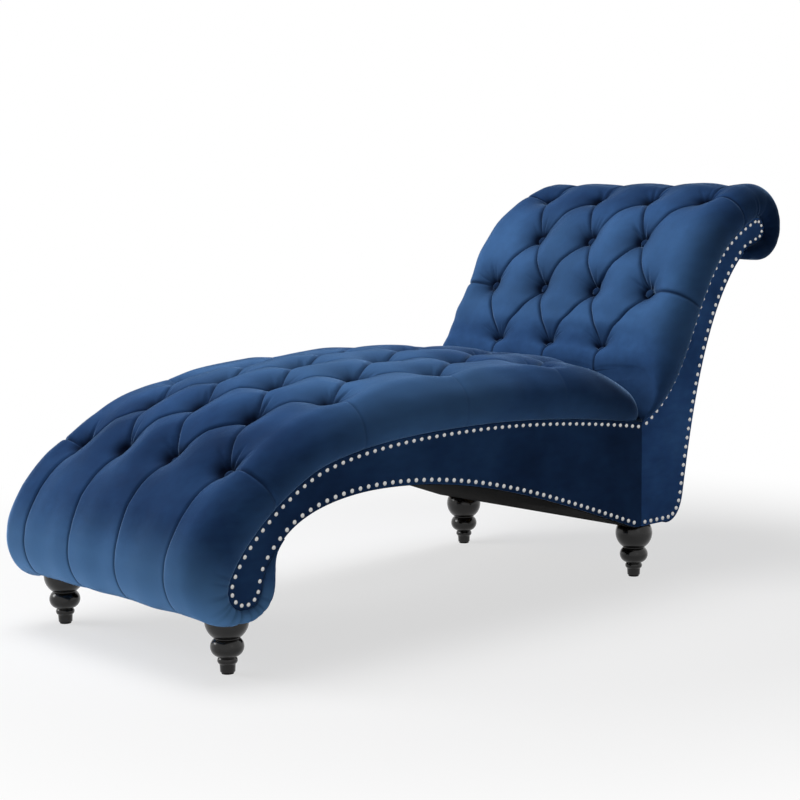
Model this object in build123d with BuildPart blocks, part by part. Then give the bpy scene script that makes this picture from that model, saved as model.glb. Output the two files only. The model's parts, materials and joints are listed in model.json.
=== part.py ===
import math
import os

from build123d import *

os.makedirs("parts", exist_ok=True)

# Millimetres. +Y runs from the toe to the head, +X is the right-hand side for someone lying back,
# +Z is up, and the origin lies on the floor under the middle of the whole chaise.

# Side outline, measured along the floor and up from it
length = 1660.0
toe_loop_radius = 39.0
toe_front_padding = 77.5
toe_loop_height = 156.0
head_loop_radius = 28.0
head_rear_padding = 48.0
head_loop_height = 738.0
back_run = 397.0
seam_height = 341.0
underside_height = 117.0
hump_from_seam = 509.0
hump_height = 385.0
knee_from_toe = 192.0
knee_height = 352.0
arch_from_toe = 322.0
arch_height = 292.0
instep_from_toe = 90.0
instep_rise = 75.0
arch_foot_from_seam = 17.0
waist_from_seam = 170.0
waist_height = 546.0
nape_from_head = 46.0
nape_drop = 48.0
heel_from_seam = 138.0
heel_height = 172.0
heel_round = 52.0
crease_angle = 81.0
toe_loop_start = 160.0
toe_loop_end = 350.0
head_loop_start = 110.0
head_loop_end = -70.0

# Side curves: the direction in degrees and the reach at each end
corner_to_hump = (171, 164, 180, 165)
hump_to_knee = (180, 125, 194.7, 120)
knee_to_toe = (194.7, 77, 250, 77)
toe_to_instep = (80, 34, 42, 53)
instep_to_arch = (42, 76, 0, 66)
arch_to_foot = (0, 253, -19, 254)
corner_to_waist = (28.3, 102, 62.4, 99)
waist_to_head = (62.4, 111, 20, 129)
head_to_nape = (200, 19, 219, 17)
nape_to_heel = (219, 171, 259.7, 189)
heel_to_base = (259.7, 30, 180, 30)

# Across the chaise
facing_half_width = 300.0
facing_thickness = 4.0
board_thickness = 18.0
fit_gap = 0.3

# Padding
cloth_thickness = 1.5
cover_thickness = 8.0
swell_ratio = 0.2
waist_ratio = 0.45
shoulder_in = 58.0
button_pitch = 150.0
button_depth = 34.0
pillow_power = 2.4
pleat_depth = 11.0
end_pleat_depth = 7.0
hem_pleat_depth = 1.0
shoulder_pucker = 6.0
shoulder_crown = 4.0
side_draw = 7.0
seat_rows = (131.0, 265.0, 404.0, 540.0, 678.0, 800.0, 915.0, 1012.0)
back_rows = (95.0, 285.0, 400.0, 520.0)
toe_station_count = 14
roll_station_count = 9
back_fan_length = 270.0

# Frame, springs and fixings
board_outer = facing_half_width - facing_thickness
board_inner = board_outer - board_thickness
stretcher_depth = 46.0
stretcher_width = 22.0
stretcher_drop = 20.0
stretcher_rows = (40.0, 290.0, 560.0, 860.0)
back_rail_rows = (190.0, 430.0)
rear_rail_width = 80.0
rear_rail_depth = 45.0
rear_rail_screw_steps = (14.0, 30.0)
splice_length = 140.0
splice_height = 86.0
splice_thickness = 12.0
splice_level = 228.0
splice_screw_across = 100.0
splice_screw_up = 54.0
splice_screw_diameter = 5.0
splice_screw_length = 25.0
rail_screw_diameter = 6.0
rail_screw_length = 50.0
rail_screw_spread = 24.0
screw_head_diameter = 10.0
screw_head_height = 3.0
screw_gap = 0.2
wire_diameter = 3.6
spring_drop = 6.0
spring_wave = 20.0
spring_turns = 22
seat_spring_rows = (90.0, 210.0, 330.0, 450.0, 570.0, 690.0, 810.0, 930.0)
back_spring_rows = (110.0, 240.0, 370.0, 500.0)
clip_thickness = 3.0
clip_length = 52.0
clip_width = 10.0
outside_back_thickness = 3.0
dust_cover_thickness = 1.2
dust_cover_half_width = 292.0

# Turned feet
foot_half_spacing = 260.0
front_foot_from_toe = 11.0
rear_foot_from_seam = 24.0
glide_height = 3.0
glide_radius = 11.0
glide_pin_radius = 1.5
glide_pin_length = 10.0
toe_taper_radius = 13.3
ankle_radius = 14.5
ankle_height = 18.0
bead_radius = 18.0
bead_height = 24.0
bead_top_radius = 16.5
bead_top_height = 29.5
ball_radius = 30.0
ball_height = 47.0
ball_top_height = 64.5
bun_radius = 39.5
bun_height = 95.0
boss_radius = 12.0
boss_height = 9.0
stud_radius = 4.0
stud_in_foot = 36.0
stud_in_rail = 34.0
insert_radius = 6.0
insert_height = 18.0
foot_clearance = 0.6
foam_foot_clearance = 4.0

# Buttons and nails
button_radius = 11.0
button_dome = 5.0
shank_radius = 2.0
button_gap = 0.5
outer_button_lift = 3.6
seat_button_lifts = (0.0, 0.0, 0.0, 0.0, 0.0, 0.0, 0.0, 0.3)
back_button_lifts = (6.8, 0.0, 0.0, 1.0)
nail_pitch = 20.0
nail_inset = 9.0
nail_end = 11.0
nail_radius = 4.8
nail_dome = 3.2
nail_pin_radius = 1.1
nail_pin_length = 3.5

# padding over the deck, by distance from the crease, then by angle round the end loop
seat_padding = ((0, 127), (404, 119), (680, 113), (915, 105), (1012, 104), (1110, 97))
toe_padding = ((160, 84), (180, 79), (225, 40), (270, 26), (315, 22), (350, 30))
instep_padding = 20.0
back_padding = ((0, 127), (95, 112), (190, 106), (285, 103), (400, 102), (520, 92))
roll_padding = ((110, 84), (90, 79), (45, 61), (0, 46), (-45, 39), (-70, 41))
nape_padding = 24.0

# Side loops and curves worked out from the sizes above
toe = (-length / 2 + toe_front_padding + toe_loop_radius, toe_loop_height)
head = (length / 2 - head_rear_padding - head_loop_radius, head_loop_height)
seam_y = head[0] - back_run
corner = (seam_y, seam_height)


def on_loop(centre, radius, angle):
    turn = math.radians(angle)
    return (centre[0] + radius * math.cos(turn), centre[1] + radius * math.sin(turn))


def bend(start, end, shape):
    # a curve that leaves start and reaches end in the given directions
    start_angle, start_reach, end_angle, end_reach = shape
    first = on_loop(start, start_reach, start_angle)
    last = on_loop(end, -end_reach, end_angle)
    return Bezier(start, first, last, end)


hump = (seam_y - hump_from_seam, hump_height)
knee = (toe[0] + knee_from_toe, knee_height)
arch = (toe[0] + arch_from_toe, arch_height)
instep = (toe[0] + instep_from_toe, toe[1] + instep_rise)
arch_foot = (seam_y - arch_foot_from_seam, underside_height)
waist = (seam_y + waist_from_seam, waist_height)
nape = (head[0] - nape_from_head, head[1] - nape_drop)
heel = (seam_y + heel_from_seam, heel_height)


def draw_seat_top():
    bend(corner, hump, corner_to_hump)
    bend(hump, knee, hump_to_knee)
    bend(knee, on_loop(toe, toe_loop_radius, toe_loop_start), knee_to_toe)


def draw_loop(centre, radius, start, end):
    half = (end - start) / 2
    CenterArc(centre, radius, start, half)
    CenterArc(centre, radius, start + half, half)


def draw_seat_deck():
    draw_seat_top()
    draw_loop(toe, toe_loop_radius, toe_loop_start, toe_loop_end)
    bend(on_loop(toe, toe_loop_radius, toe_loop_end), instep, toe_to_instep)


def draw_arch():
    bend(instep, arch, instep_to_arch)
    bend(arch, arch_foot, arch_to_foot)


def draw_back_front():
    bend(corner, waist, corner_to_waist)
    bend(waist, on_loop(head, head_loop_radius, head_loop_start), waist_to_head)


def draw_back_deck():
    draw_back_front()
    draw_loop(head, head_loop_radius, head_loop_start, head_loop_end)
    bend(on_loop(head, head_loop_radius, head_loop_end), nape, head_to_nape)


def draw_rear():
    bend(nape, heel, nape_to_heel)
    bend(heel, (heel[0] - heel_round, underside_height), heel_to_base)


with BuildLine(Plane.YZ) as seat_top_line:
    draw_seat_top()
with BuildLine(Plane.YZ) as seat_deck_line:
    draw_seat_deck()
with BuildLine(Plane.YZ) as back_front_line:
    draw_back_front()
with BuildLine(Plane.YZ) as back_deck_line:
    draw_back_deck()
seat_deck = seat_deck_line.wire()
back_deck = back_deck_line.wire()

seat_top_length = seat_top_line.wire().length
back_front_length = back_front_line.wire().length


def spot(line, distance):
    point = line.position_at(distance, position_mode=PositionMode.LENGTH)
    along = line.tangent_at(distance, position_mode=PositionMode.LENGTH)
    return (point.Y, point.Z), (along.Y, along.Z)


def padding_table(deck_values, loop_values, first_length, radius, last_length, last_value):
    # padding thickness by distance from the crease, over the deck and round the end loop
    first_angle = loop_values[0][0]
    table = list(deck_values)
    for angle, value in loop_values:
        table.append((first_length + radius * math.radians(abs(angle - first_angle)), value))
    table.append((last_length, last_value))
    return table


seat_table = padding_table(seat_padding, toe_padding, seat_top_length, toe_loop_radius,
                           seat_deck.length, instep_padding)
back_table = padding_table(back_padding, roll_padding, back_front_length, head_loop_radius,
                           back_deck.length, nape_padding)


def between(table, distance):
    for (low, low_value), (high, high_value) in zip(table, table[1:]):
        if distance <= high:
            return low_value + (high_value - low_value) * (distance - low) / (high - low)
    return table[-1][1]


def section_plane(point, angle):
    # a plane across the chaise whose own Y points out of the padding
    turn = math.radians(angle)
    return Plane(
        origin=(0, point[0], point[1]),
        x_dir=(1, 0, 0),
        z_dir=(0, -math.sin(turn), math.cos(turn)),
    )


def seat_plane(distance):
    point, along = spot(seat_deck, distance)
    return section_plane(point, math.degrees(math.atan2(-along[0], along[1])))


def square_back_angle(distance):
    along = spot(back_deck, distance)[1]
    return math.degrees(math.atan2(along[0], -along[1]))


def square_back_plane(distance):
    return section_plane(spot(back_deck, distance)[0], square_back_angle(distance))


def back_plane(distance):
    # the first sections fan out from the crease, where the two cushions press together
    share = min(1.0, math.sqrt(distance / back_fan_length))
    angle = crease_angle + (square_back_angle(distance) - crease_angle) * share
    return section_plane(spot(back_deck, distance)[0], angle)


# Section across a cushion

cushion_base = 2 * fit_gap + cloth_thickness
quarter_pitch = button_pitch / 4
button_reach = 6 * quarter_pitch


def scallop(across, crown_at, pitch, depth):
    # how far a pillow that crowns every pitch has dropped at a place across the chaise
    nearest = crown_at + pitch * round((across - crown_at) / pitch)
    return depth * (abs(across - nearest) / (pitch / 2)) ** pillow_power


def pad_arcs(thickness, kind, depth, inset):
    # arcs from the right hem over the top to the left hem, each as its two ends and its middle
    crown_at = button_pitch / 2 if kind == "three" else 0.0
    pitch = button_pitch / 2 if kind == "between" else button_pitch
    top = thickness - inset
    swell = swell_ratio * thickness
    pulled = kind == "four"
    widest = facing_half_width + swell - inset - (side_draw * depth / button_depth if pulled else 0)
    middle = cushion_base + waist_ratio * (top - cushion_base)
    hem = facing_half_width - inset
    lean = widest - hem
    drop = middle - cushion_base
    radius = (lean * lean + drop * drop) / (2 * lean)
    half_turn = math.atan2(drop, radius - lean) / 2
    side_middle = (widest - radius + radius * math.cos(half_turn), middle - radius * math.sin(half_turn))
    ridge_at = facing_half_width - shoulder_in / 2
    rise = -shoulder_pucker * depth / button_depth if pulled else shoulder_crown * top / seat_padding[0][1]
    ridge = (ridge_at, top + rise)
    round_share = math.sqrt(0.5)
    shoulder_middle = (
        ridge_at + (widest - ridge_at) * round_share,
        middle + (ridge[1] - middle) * round_share,
    )

    def height(across):
        return top - scallop(across, crown_at, pitch, depth)

    inner_end = (button_reach, height(button_reach))
    fall = ridge[1] - inner_end[1]
    run = ridge_at - button_reach
    ridge_radius = (run * run + fall * fall) / (2 * fall)
    half_way = ridge_at - run / 2
    ridge_middle = (half_way, ridge[1] - ridge_radius + math.sqrt(ridge_radius ** 2 - (run / 2) ** 2))
    right = [
        ((hem, cushion_base), side_middle, (widest, middle)),
        ((widest, middle), shoulder_middle, ridge),
        (ridge, ridge_middle, inner_end),
    ]
    across_top = []
    for step in range(6, -6, -1):
        places = [quarter_pitch * (step - share) for share in (0, 0.5, 1)]
        across_top.append(tuple((place, height(place)) for place in places))
    left = [tuple((-x, y) for x, y in reversed(arc)) for arc in reversed(right)]
    return right + across_top + left


def draw_chain(arcs):
    for start, middle, end in arcs:
        ThreePointArc(start, middle, end)


def cushion_sections(deck, rows, end_count):
    # each section as its distance from the crease, its kind of tufting and its depth
    sections = [(fit_gap, "four", pleat_depth), (rows[0] / 4, "between", pleat_depth)]
    before = 0.0
    kinds = ("three", "four")
    for count, row in enumerate(rows):
        sections.append(((before + row) / 2, "between", pleat_depth))
        sections.append((row, kinds[count % 2], button_depth))
        before = row
    reach = deck.length - before
    for count in range(1, end_count + 1):
        share = count / end_count
        depth = end_pleat_depth + (hem_pleat_depth - end_pleat_depth) * share
        sections.append((before + reach * share, "four", depth))
    return sections


seat_sections = cushion_sections(seat_deck, seat_rows, toe_station_count)
back_sections = cushion_sections(back_deck, back_rows, roll_station_count)


def draw_pad(arcs):
    draw_chain(arcs)
    Line(arcs[-1][2], arcs[0][0])


def draw_shell(outer, inner):
    draw_chain(outer)
    Line(outer[-1][2], inner[-1][2])
    draw_chain([tuple(reversed(arc)) for arc in reversed(inner)])
    Line(inner[0][0], outer[0][0])


# Cushions: a quilted velvet cover over shaped foam, on a hessian deck


def foot_places():
    front = toe[0] - front_foot_from_toe
    rear = seam_y + rear_foot_from_seam
    return {
        "front_left": (-foot_half_spacing, front),
        "front_right": (foot_half_spacing, front),
        "rear_left": (-foot_half_spacing, rear),
        "rear_right": (foot_half_spacing, rear),
    }


foot_spots = foot_places()
rail_bottom = underside_height + boss_height
upward = (Align.CENTER, Align.CENTER, Align.MIN)


def clear_front_feet(clearance):
    # room for the front feet where they come up through the toe padding
    for name in ("front_left", "front_right"):
        across, along = foot_spots[name]
        with Locations((across, along, 0)):
            Cylinder(bun_radius + clearance, underside_height + fit_gap, align=upward, mode=Mode.SUBTRACT)
            Cylinder(boss_radius + clearance, rail_bottom + fit_gap, align=upward, mode=Mode.SUBTRACT)


def cover_faces(plane_at, sections, table):
    faces = []
    for distance, kind, depth in sections:
        padding = between(table, distance)
        outer = pad_arcs(padding, kind, depth, 0)
        inner = pad_arcs(padding, kind, depth, cover_thickness)
        with BuildSketch(plane_at(distance)) as section:
            with BuildLine():
                draw_shell(outer, inner)
            make_face()
        faces.append(section.sketch.face())
    return faces


def foam_faces(plane_at, sections, table):
    faces = []
    for distance, kind, depth in sections:
        arcs = pad_arcs(between(table, distance), kind, depth, cover_thickness + fit_gap)
        with BuildSketch(plane_at(distance)) as section:
            with BuildLine():
                draw_pad(arcs)
            make_face()
        faces.append(section.sketch.face())
    return faces


def finish(builder, label):
    builder.part.label = label
    export_step(builder.part, "parts/" + label + ".step")
    print(label, len(builder.part.solids()), round(builder.part.volume), builder.part.is_valid)


def dome_middle(radius, height):
    # the point half way down a round cap, as its distance from the axis and its height
    ball = (radius * radius + height * height) / (2 * height)
    turn = math.asin(radius / ball) / 2
    return ball * math.sin(turn), height - ball + ball * math.cos(turn)


nail_middle = dome_middle(nail_radius, nail_dome)
button_middle = dome_middle(button_radius, button_dome)


def export_group(pieces, label):
    # pieces that are alike share one node as separate solids
    group = Compound(label=label, children=pieces)
    export_step(group, "parts/" + label + ".step")
    print(label, len(group.solids()), round(group.volume), group.is_valid)


with BuildPart() as seat_cover:
    loft(sections=cover_faces(seat_plane, seat_sections, seat_table))
    clear_front_feet(foot_clearance)
finish(seat_cover, "seat_cover")

with BuildPart() as back_cover:
    loft(sections=cover_faces(back_plane, back_sections, back_table))
finish(back_cover, "back_cover")

with BuildPart() as seat_foam:
    loft(sections=foam_faces(seat_plane, seat_sections, seat_table))
    clear_front_feet(foam_foot_clearance)
finish(seat_foam, "seat_foam")

with BuildPart() as back_foam:
    loft(sections=foam_faces(back_plane, back_sections, back_table))
finish(back_foam, "back_foam")


def band_points(line, first, last, count, offset, side):
    # points that follow a side curve at an offset to its left or right
    points = []
    for step in range(count + 1):
        place, along = spot(line, first + (last - first) * step / count)
        points.append((place[0] - side * along[1] * offset, place[1] + side * along[0] * offset))
    return points


def draw_band(line, first, last, step_length, near, far, side):
    count = max(4, round((last - first) / step_length))
    inner = band_points(line, first, last, count, near, side)
    outer = band_points(line, first, last, count, far, side)
    Spline(inner)
    Line(inner[-1], outer[-1])
    Spline(outer)
    Line(outer[0], inner[0])


left_of = 1
right_of = -1
cloth_start = 2.0
cloth_step = 16.0
sheet_step = 40.0
cloth_far = fit_gap + cloth_thickness

with BuildPart() as seat_deck_cloth:
    with BuildSketch(Plane.YZ.offset(-board_outer)):
        with BuildLine():
            draw_band(seat_deck, cloth_start, seat_deck.length, cloth_step, fit_gap, cloth_far, right_of)
        make_face()
    extrude(amount=2 * board_outer)
    clear_front_feet(foot_clearance)
finish(seat_deck_cloth, "seat_deck_cloth")

with BuildPart() as back_deck_cloth:
    with BuildSketch(Plane.YZ.offset(-board_outer)):
        with BuildLine():
            draw_band(back_deck, cloth_start, back_deck.length, cloth_step, fit_gap, cloth_far, left_of)
        make_face()
    extrude(amount=2 * board_outer)
finish(back_deck_cloth, "back_deck_cloth")

# Thin sheets behind and below

with BuildLine(Plane.YZ) as rear_line:
    draw_rear()
with BuildLine(Plane.YZ) as arch_line:
    draw_arch()
rear_edge = rear_line.wire()
arch_edge = arch_line.wire()

with BuildPart() as outside_back:
    with BuildSketch(Plane.YZ.offset(-facing_half_width)):
        with BuildLine():
            draw_band(rear_edge, fit_gap, rear_edge.length, sheet_step, fit_gap,
                      fit_gap + outside_back_thickness, left_of)
        make_face()
    extrude(amount=2 * facing_half_width)
finish(outside_back, "outside_back")

with BuildPart() as dust_cover:
    with BuildSketch(Plane.YZ.offset(-dust_cover_half_width)):
        with BuildLine():
            draw_band(arch_edge, fit_gap, arch_edge.length, sheet_step, fit_gap,
                      fit_gap + dust_cover_thickness, right_of)
        make_face()
    extrude(amount=2 * dust_cover_half_width)
finish(dust_cover, "dust_cover")

# Side boards and facings share their outlines


def draw_seat_side():
    draw_seat_deck()
    draw_arch()
    Line(arch_foot, (seam_y, underside_height))
    Line((seam_y, underside_height), corner)


def draw_back_side():
    draw_back_deck()
    draw_rear()
    Line((heel[0] - heel_round, underside_height), (seam_y, underside_height))
    Line((seam_y, underside_height), corner)


def side_spots(station, offsets):
    # places on a side board, given as steps out of and along the deck from a station
    spots = []
    for out, along in offsets:
        place = station.from_local_coords((0, out, along))
        spots.append((place.Y, place.Z))
    return spots


half_spread = rail_screw_spread / 2
stretcher_middle = -(stretcher_drop + stretcher_depth / 2)
back_rail_middle = -(stretcher_drop + stretcher_width / 2)
stretcher_screws = ((stretcher_middle - half_spread, 0), (stretcher_middle + half_spread, 0))
back_rail_screws = ((back_rail_middle, -half_spread), (back_rail_middle, half_spread))
stretcher_planes = [seat_plane(row) for row in stretcher_rows]
back_rail_planes = [square_back_plane(row) for row in back_rail_rows]
toe_core_spots = [(toe[0], toe[1]), (toe[0], toe[1] + half_spread)]
head_core_spots = [(head[0], head[1]), (head[0] - half_spread, head[1])]
rear_rail_y = seam_y + rear_foot_from_seam
rear_rail_z = rail_bottom + rear_rail_depth / 2
rear_rail_spots = [(rear_rail_y + step, rear_rail_z) for step in rear_rail_screw_steps]
seat_screw_spots = list(toe_core_spots)
for station in stretcher_planes:
    seat_screw_spots += side_spots(station, stretcher_screws)
back_screw_spots = head_core_spots + rear_rail_spots
for station in back_rail_planes:
    back_screw_spots += side_spots(station, back_rail_screws)

half_across = splice_screw_across / 2
half_up = splice_screw_up / 2
splice_levels = (splice_level - half_up, splice_level + half_up)
seat_splice_spots = [(seam_y - half_across * share, level) for share in (0.5, 1) for level in splice_levels]
back_splice_spots = [(seam_y + half_across * share, level) for share in (0.5, 1) for level in splice_levels]
splice_spots = seat_splice_spots + back_splice_spots


def bar(spots, low, high, radius, mode=Mode.ADD):
    # round bars across the chaise from one X to another, at places on the side
    for along, up in spots:
        with Locations(Plane(origin=(low, along, up), z_dir=(1, 0, 0))):
            Cylinder(radius, high - low, align=upward, mode=mode)


def mirrored_bar(sign, spots, inner, outer, radius, mode=Mode.ADD):
    bar(spots, min(sign * inner, sign * outer), max(sign * inner, sign * outer), radius, mode)


screw_bore = rail_screw_diameter / 2 + screw_gap
head_bore = screw_head_diameter / 2 + screw_gap
splice_bore = splice_screw_diameter / 2 + screw_gap
head_seat = board_outer - screw_head_height - screw_gap
splice_inner = board_inner - splice_thickness
splice_tip = splice_inner + splice_screw_length


def drill_board(sign, rail_spots, plate_spots):
    mirrored_bar(sign, rail_spots, board_inner - 1, board_outer + 1, screw_bore, Mode.SUBTRACT)
    mirrored_bar(sign, rail_spots, head_seat, board_outer + 1, head_bore, Mode.SUBTRACT)
    mirrored_bar(sign, plate_spots, board_inner - 1, splice_tip + screw_gap, splice_bore, Mode.SUBTRACT)


with BuildLine(Plane.YZ) as seat_rim_line:
    draw_seat_deck()
    draw_arch()
with BuildLine(Plane.YZ) as back_rim_line:
    draw_back_deck()
    draw_rear()
    Line((heel[0] - heel_round, underside_height), (seam_y, underside_height))


def nail_row(rim, side):
    reach = rim.length - 2 * nail_end
    count = round(reach / nail_pitch)
    return band_points(rim, nail_end, rim.length - nail_end, count, nail_inset, side)


seat_nails = nail_row(seat_rim_line.wire(), left_of)
back_nails = nail_row(back_rim_line.wire(), right_of)
sides = {"left": -1, "right": 1}

for side, sign in sides.items():
    board_low = min(sign * board_inner, sign * board_outer)
    facing_low = min(sign * board_outer, sign * facing_half_width)

    with BuildPart() as seat_board:
        with BuildSketch(Plane.YZ.offset(board_low)):
            with BuildLine():
                draw_seat_side()
            make_face()
        extrude(amount=board_thickness)
        drill_board(sign, seat_screw_spots, seat_splice_spots)
    finish(seat_board, "seat_board_" + side)

    with BuildPart() as back_board:
        with BuildSketch(Plane.YZ.offset(board_low)):
            with BuildLine():
                draw_back_side()
            make_face()
        extrude(amount=board_thickness)
        drill_board(sign, back_screw_spots, back_splice_spots)
    finish(back_board, "back_board_" + side)

    with BuildPart() as seat_facing:
        with BuildSketch(Plane.YZ.offset(facing_low)):
            with BuildLine():
                draw_seat_side()
            make_face()
            with Locations(seat_nails):
                Circle(nail_pin_radius + screw_gap, mode=Mode.SUBTRACT)
        extrude(amount=facing_thickness)
    finish(seat_facing, "seat_facing_" + side)

    with BuildPart() as back_facing:
        with BuildSketch(Plane.YZ.offset(facing_low)):
            with BuildLine():
                draw_back_side()
            make_face()
            with Locations(back_nails):
                Circle(nail_pin_radius + screw_gap, mode=Mode.SUBTRACT)
        extrude(amount=facing_thickness)
    finish(back_facing, "back_facing_" + side)

    with BuildPart() as nail:
        with BuildSketch(Plane.XY):
            with BuildLine():
                Line((sign * nail_dome, 0), (-sign * nail_pin_length, 0))
                Line((-sign * nail_pin_length, 0), (-sign * nail_pin_length, nail_pin_radius))
                Line((-sign * nail_pin_length, nail_pin_radius), (0, nail_pin_radius))
                Line((0, nail_pin_radius), (0, nail_radius))
                ThreePointArc((0, nail_radius), (sign * nail_middle[1], nail_middle[0]), (sign * nail_dome, 0))
            make_face()
        revolve(axis=Axis.X)
    nail_copies = [
        nail.part.moved(Location((sign * facing_half_width, along, up)))
        for along, up in seat_nails + back_nails
    ]
    export_group(nail_copies, "nailheads_" + side)

    with BuildPart() as splice:
        with BuildSketch(Plane.YZ.offset(min(sign * splice_inner, sign * board_inner))):
            with Locations((seam_y, splice_level)):
                Rectangle(splice_length, splice_height)
        extrude(amount=splice_thickness)
        mirrored_bar(sign, splice_spots, splice_inner - 1, board_inner + 1, splice_bore, Mode.SUBTRACT)
    finish(splice, "splice_plate_" + side)

# Cores, stretchers and rails run between the side boards


def drill_ends(spots):
    for sign in sides.values():
        mirrored_bar(sign, spots, board_outer - rail_screw_length - screw_gap, board_inner + 1, screw_bore,
                     Mode.SUBTRACT)


def drill_foot_fixings(names):
    # bores from below for the insert nuts and the studs of the feet
    for name in names:
        with Locations((*foot_spots[name], rail_bottom)):
            Cylinder(insert_radius + screw_gap, insert_height, align=upward, mode=Mode.SUBTRACT)
            Cylinder(stud_radius + screw_gap, stud_in_rail + screw_gap, align=upward, mode=Mode.SUBTRACT)


with BuildPart() as toe_core:
    with BuildSketch(Plane.YZ.offset(-board_inner)):
        with Locations(toe):
            Circle(toe_loop_radius - fit_gap)
        with Locations((toe[0], rail_bottom)):
            Rectangle(2 * toe_loop_radius, toe_loop_radius, align=(Align.CENTER, Align.MAX), mode=Mode.SUBTRACT)
    extrude(amount=2 * board_inner)
    drill_ends(toe_core_spots)
    drill_foot_fixings(("front_left", "front_right"))
finish(toe_core, "toe_core")

with BuildPart() as head_core:
    with BuildSketch(Plane.YZ.offset(-board_inner)):
        with Locations(head):
            Circle(head_loop_radius - fit_gap)
    extrude(amount=2 * board_inner)
    drill_ends(head_core_spots)
finish(head_core, "head_core")

stretcher_names = ("seat_back_rail", "rear_stretcher", "middle_stretcher", "front_stretcher")
for label, station in zip(stretcher_names, stretcher_planes):
    with BuildPart() as stretcher:
        with BuildSketch(station):
            with Locations((0, stretcher_middle)):
                Rectangle(2 * board_inner, stretcher_depth)
        extrude(amount=stretcher_width / 2, both=True)
        drill_ends(side_spots(station, stretcher_screws))
    finish(stretcher, label)

for label, station in zip(("lumbar_rail", "shoulder_rail"), back_rail_planes):
    with BuildPart() as back_rail:
        with BuildSketch(station):
            with Locations((0, back_rail_middle)):
                Rectangle(2 * board_inner, stretcher_width)
        extrude(amount=stretcher_depth / 2, both=True)
        drill_ends(side_spots(station, back_rail_screws))
    finish(back_rail, label)

with BuildPart() as rear_rail:
    with BuildSketch(Plane.YZ.offset(-board_inner)):
        with Locations((rear_rail_y, rear_rail_z)):
            Rectangle(rear_rail_width, rear_rail_depth)
    extrude(amount=2 * board_inner)
    drill_ends(rear_rail_spots)
    drill_foot_fixings(("rear_left", "rear_right"))
finish(rear_rail, "rear_rail")

# Screws

with BuildPart() as rail_screws:
    for sign in sides.values():
        rail_spots = seat_screw_spots + back_screw_spots
        mirrored_bar(sign, rail_spots, board_outer - rail_screw_length, head_seat + screw_gap,
                     rail_screw_diameter / 2)
        mirrored_bar(sign, rail_spots, head_seat + screw_gap, board_outer, screw_head_diameter / 2)
finish(rail_screws, "rail_screws")

with BuildPart() as splice_screws:
    for sign in sides.values():
        mirrored_bar(sign, splice_spots, splice_inner, splice_tip, splice_screw_diameter / 2)
        mirrored_bar(sign, splice_spots, splice_inner - screw_head_height, splice_inner,
                     screw_head_diameter / 2)
finish(splice_screws, "splice_screws")

# Zigzag springs, held by clips on the side boards

spring_half_span = board_inner - clip_thickness - fit_gap - wire_diameter / 2
spring_pitch = 2 * spring_half_span / spring_turns
turn_radius = spring_pitch / 2
leg_half = spring_wave - turn_radius


def spring_plane(station):
    # a plane along the deck, just below it
    return Plane(
        origin=station.from_local_coords((0, -spring_drop, 0)),
        x_dir=(1, 0, 0),
        z_dir=station.y_dir,
    )


with BuildPart() as spring:
    with BuildLine(Plane.XY):
        place = -spring_half_span
        level = leg_half
        Line((place, 0), (place, level))
        for turn in range(spring_turns):
            following = place + spring_pitch
            crest = level + math.copysign(turn_radius, level)
            ThreePointArc((place, level), (place + turn_radius, crest), (following, level))
            end_level = 0 if turn == spring_turns - 1 else -level
            Line((following, level), (following, end_level))
            place = following
            level = -level
    with BuildSketch(Plane(origin=(-spring_half_span, 0, 0), z_dir=(0, 1, 0))):
        Circle(wire_diameter / 2)
    sweep()

with BuildPart() as clip_pair:
    for sign in sides.values():
        with Locations((sign * (board_inner - clip_thickness / 2), 0, 0)):
            Box(clip_thickness, clip_length, clip_width)


def spring_locations(plane_at, rows):
    return [spring_plane(plane_at(row)).location for row in rows]


seat_springs = spring_locations(seat_plane, seat_spring_rows)
back_springs = spring_locations(square_back_plane, back_spring_rows)
export_group([spring.part.moved(place) for place in seat_springs], "seat_springs")
export_group([spring.part.moved(place) for place in back_springs], "back_springs")
export_group([clip_pair.part.moved(place) for place in seat_springs], "seat_spring_clips")
export_group([clip_pair.part.moved(place) for place in back_springs], "back_spring_clips")

# Covered buttons at the bottom of the tufts


def tuft_rise(offset):
    # how far the cover has risen at an offset from the bottom of a tuft
    half = button_pitch / 2
    return button_depth * (1 - ((half - offset) / half) ** pillow_power)


rim_level = tuft_rise(button_radius) + button_gap
shank_level = tuft_rise(shank_radius) + button_gap

with BuildPart() as button:
    with BuildSketch(Plane.XZ):
        with BuildLine():
            Line((0, shank_level), (shank_radius, shank_level))
            Line((shank_radius, shank_level), (shank_radius, rim_level))
            Line((shank_radius, rim_level), (button_radius, rim_level))
            ThreePointArc((button_radius, rim_level), (button_middle[0], rim_level + button_middle[1]),
                          (0, rim_level + button_dome))
            Line((0, rim_level + button_dome), (0, shank_level))
        make_face()
    revolve(axis=Axis.Z)


def button_copies(plane_at, rows, table, lifts):
    # the outer buttons sit higher, because the cover climbs more steeply to the shoulder
    copies = []
    for count, (row, lift) in enumerate(zip(rows, lifts)):
        station = plane_at(row)
        across = (-1, 0, 1) if count % 2 == 0 else (-1.5, -0.5, 0.5, 1.5)
        for place in across:
            outer_lift = outer_button_lift if abs(place) == 1.5 else 0.0
            bottom = between(table, row) - button_depth + lift + outer_lift
            origin = station.from_local_coords((place * button_pitch, bottom, 0))
            copies.append(button.part.moved(Plane(origin, x_dir=(1, 0, 0), z_dir=station.y_dir).location))
    return copies


export_group(button_copies(seat_plane, seat_rows, seat_table, seat_button_lifts), "seat_buttons")
export_group(button_copies(back_plane, back_rows, back_table, back_button_lifts), "back_buttons")

# Turned feet with their studs, insert nuts and glides

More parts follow.
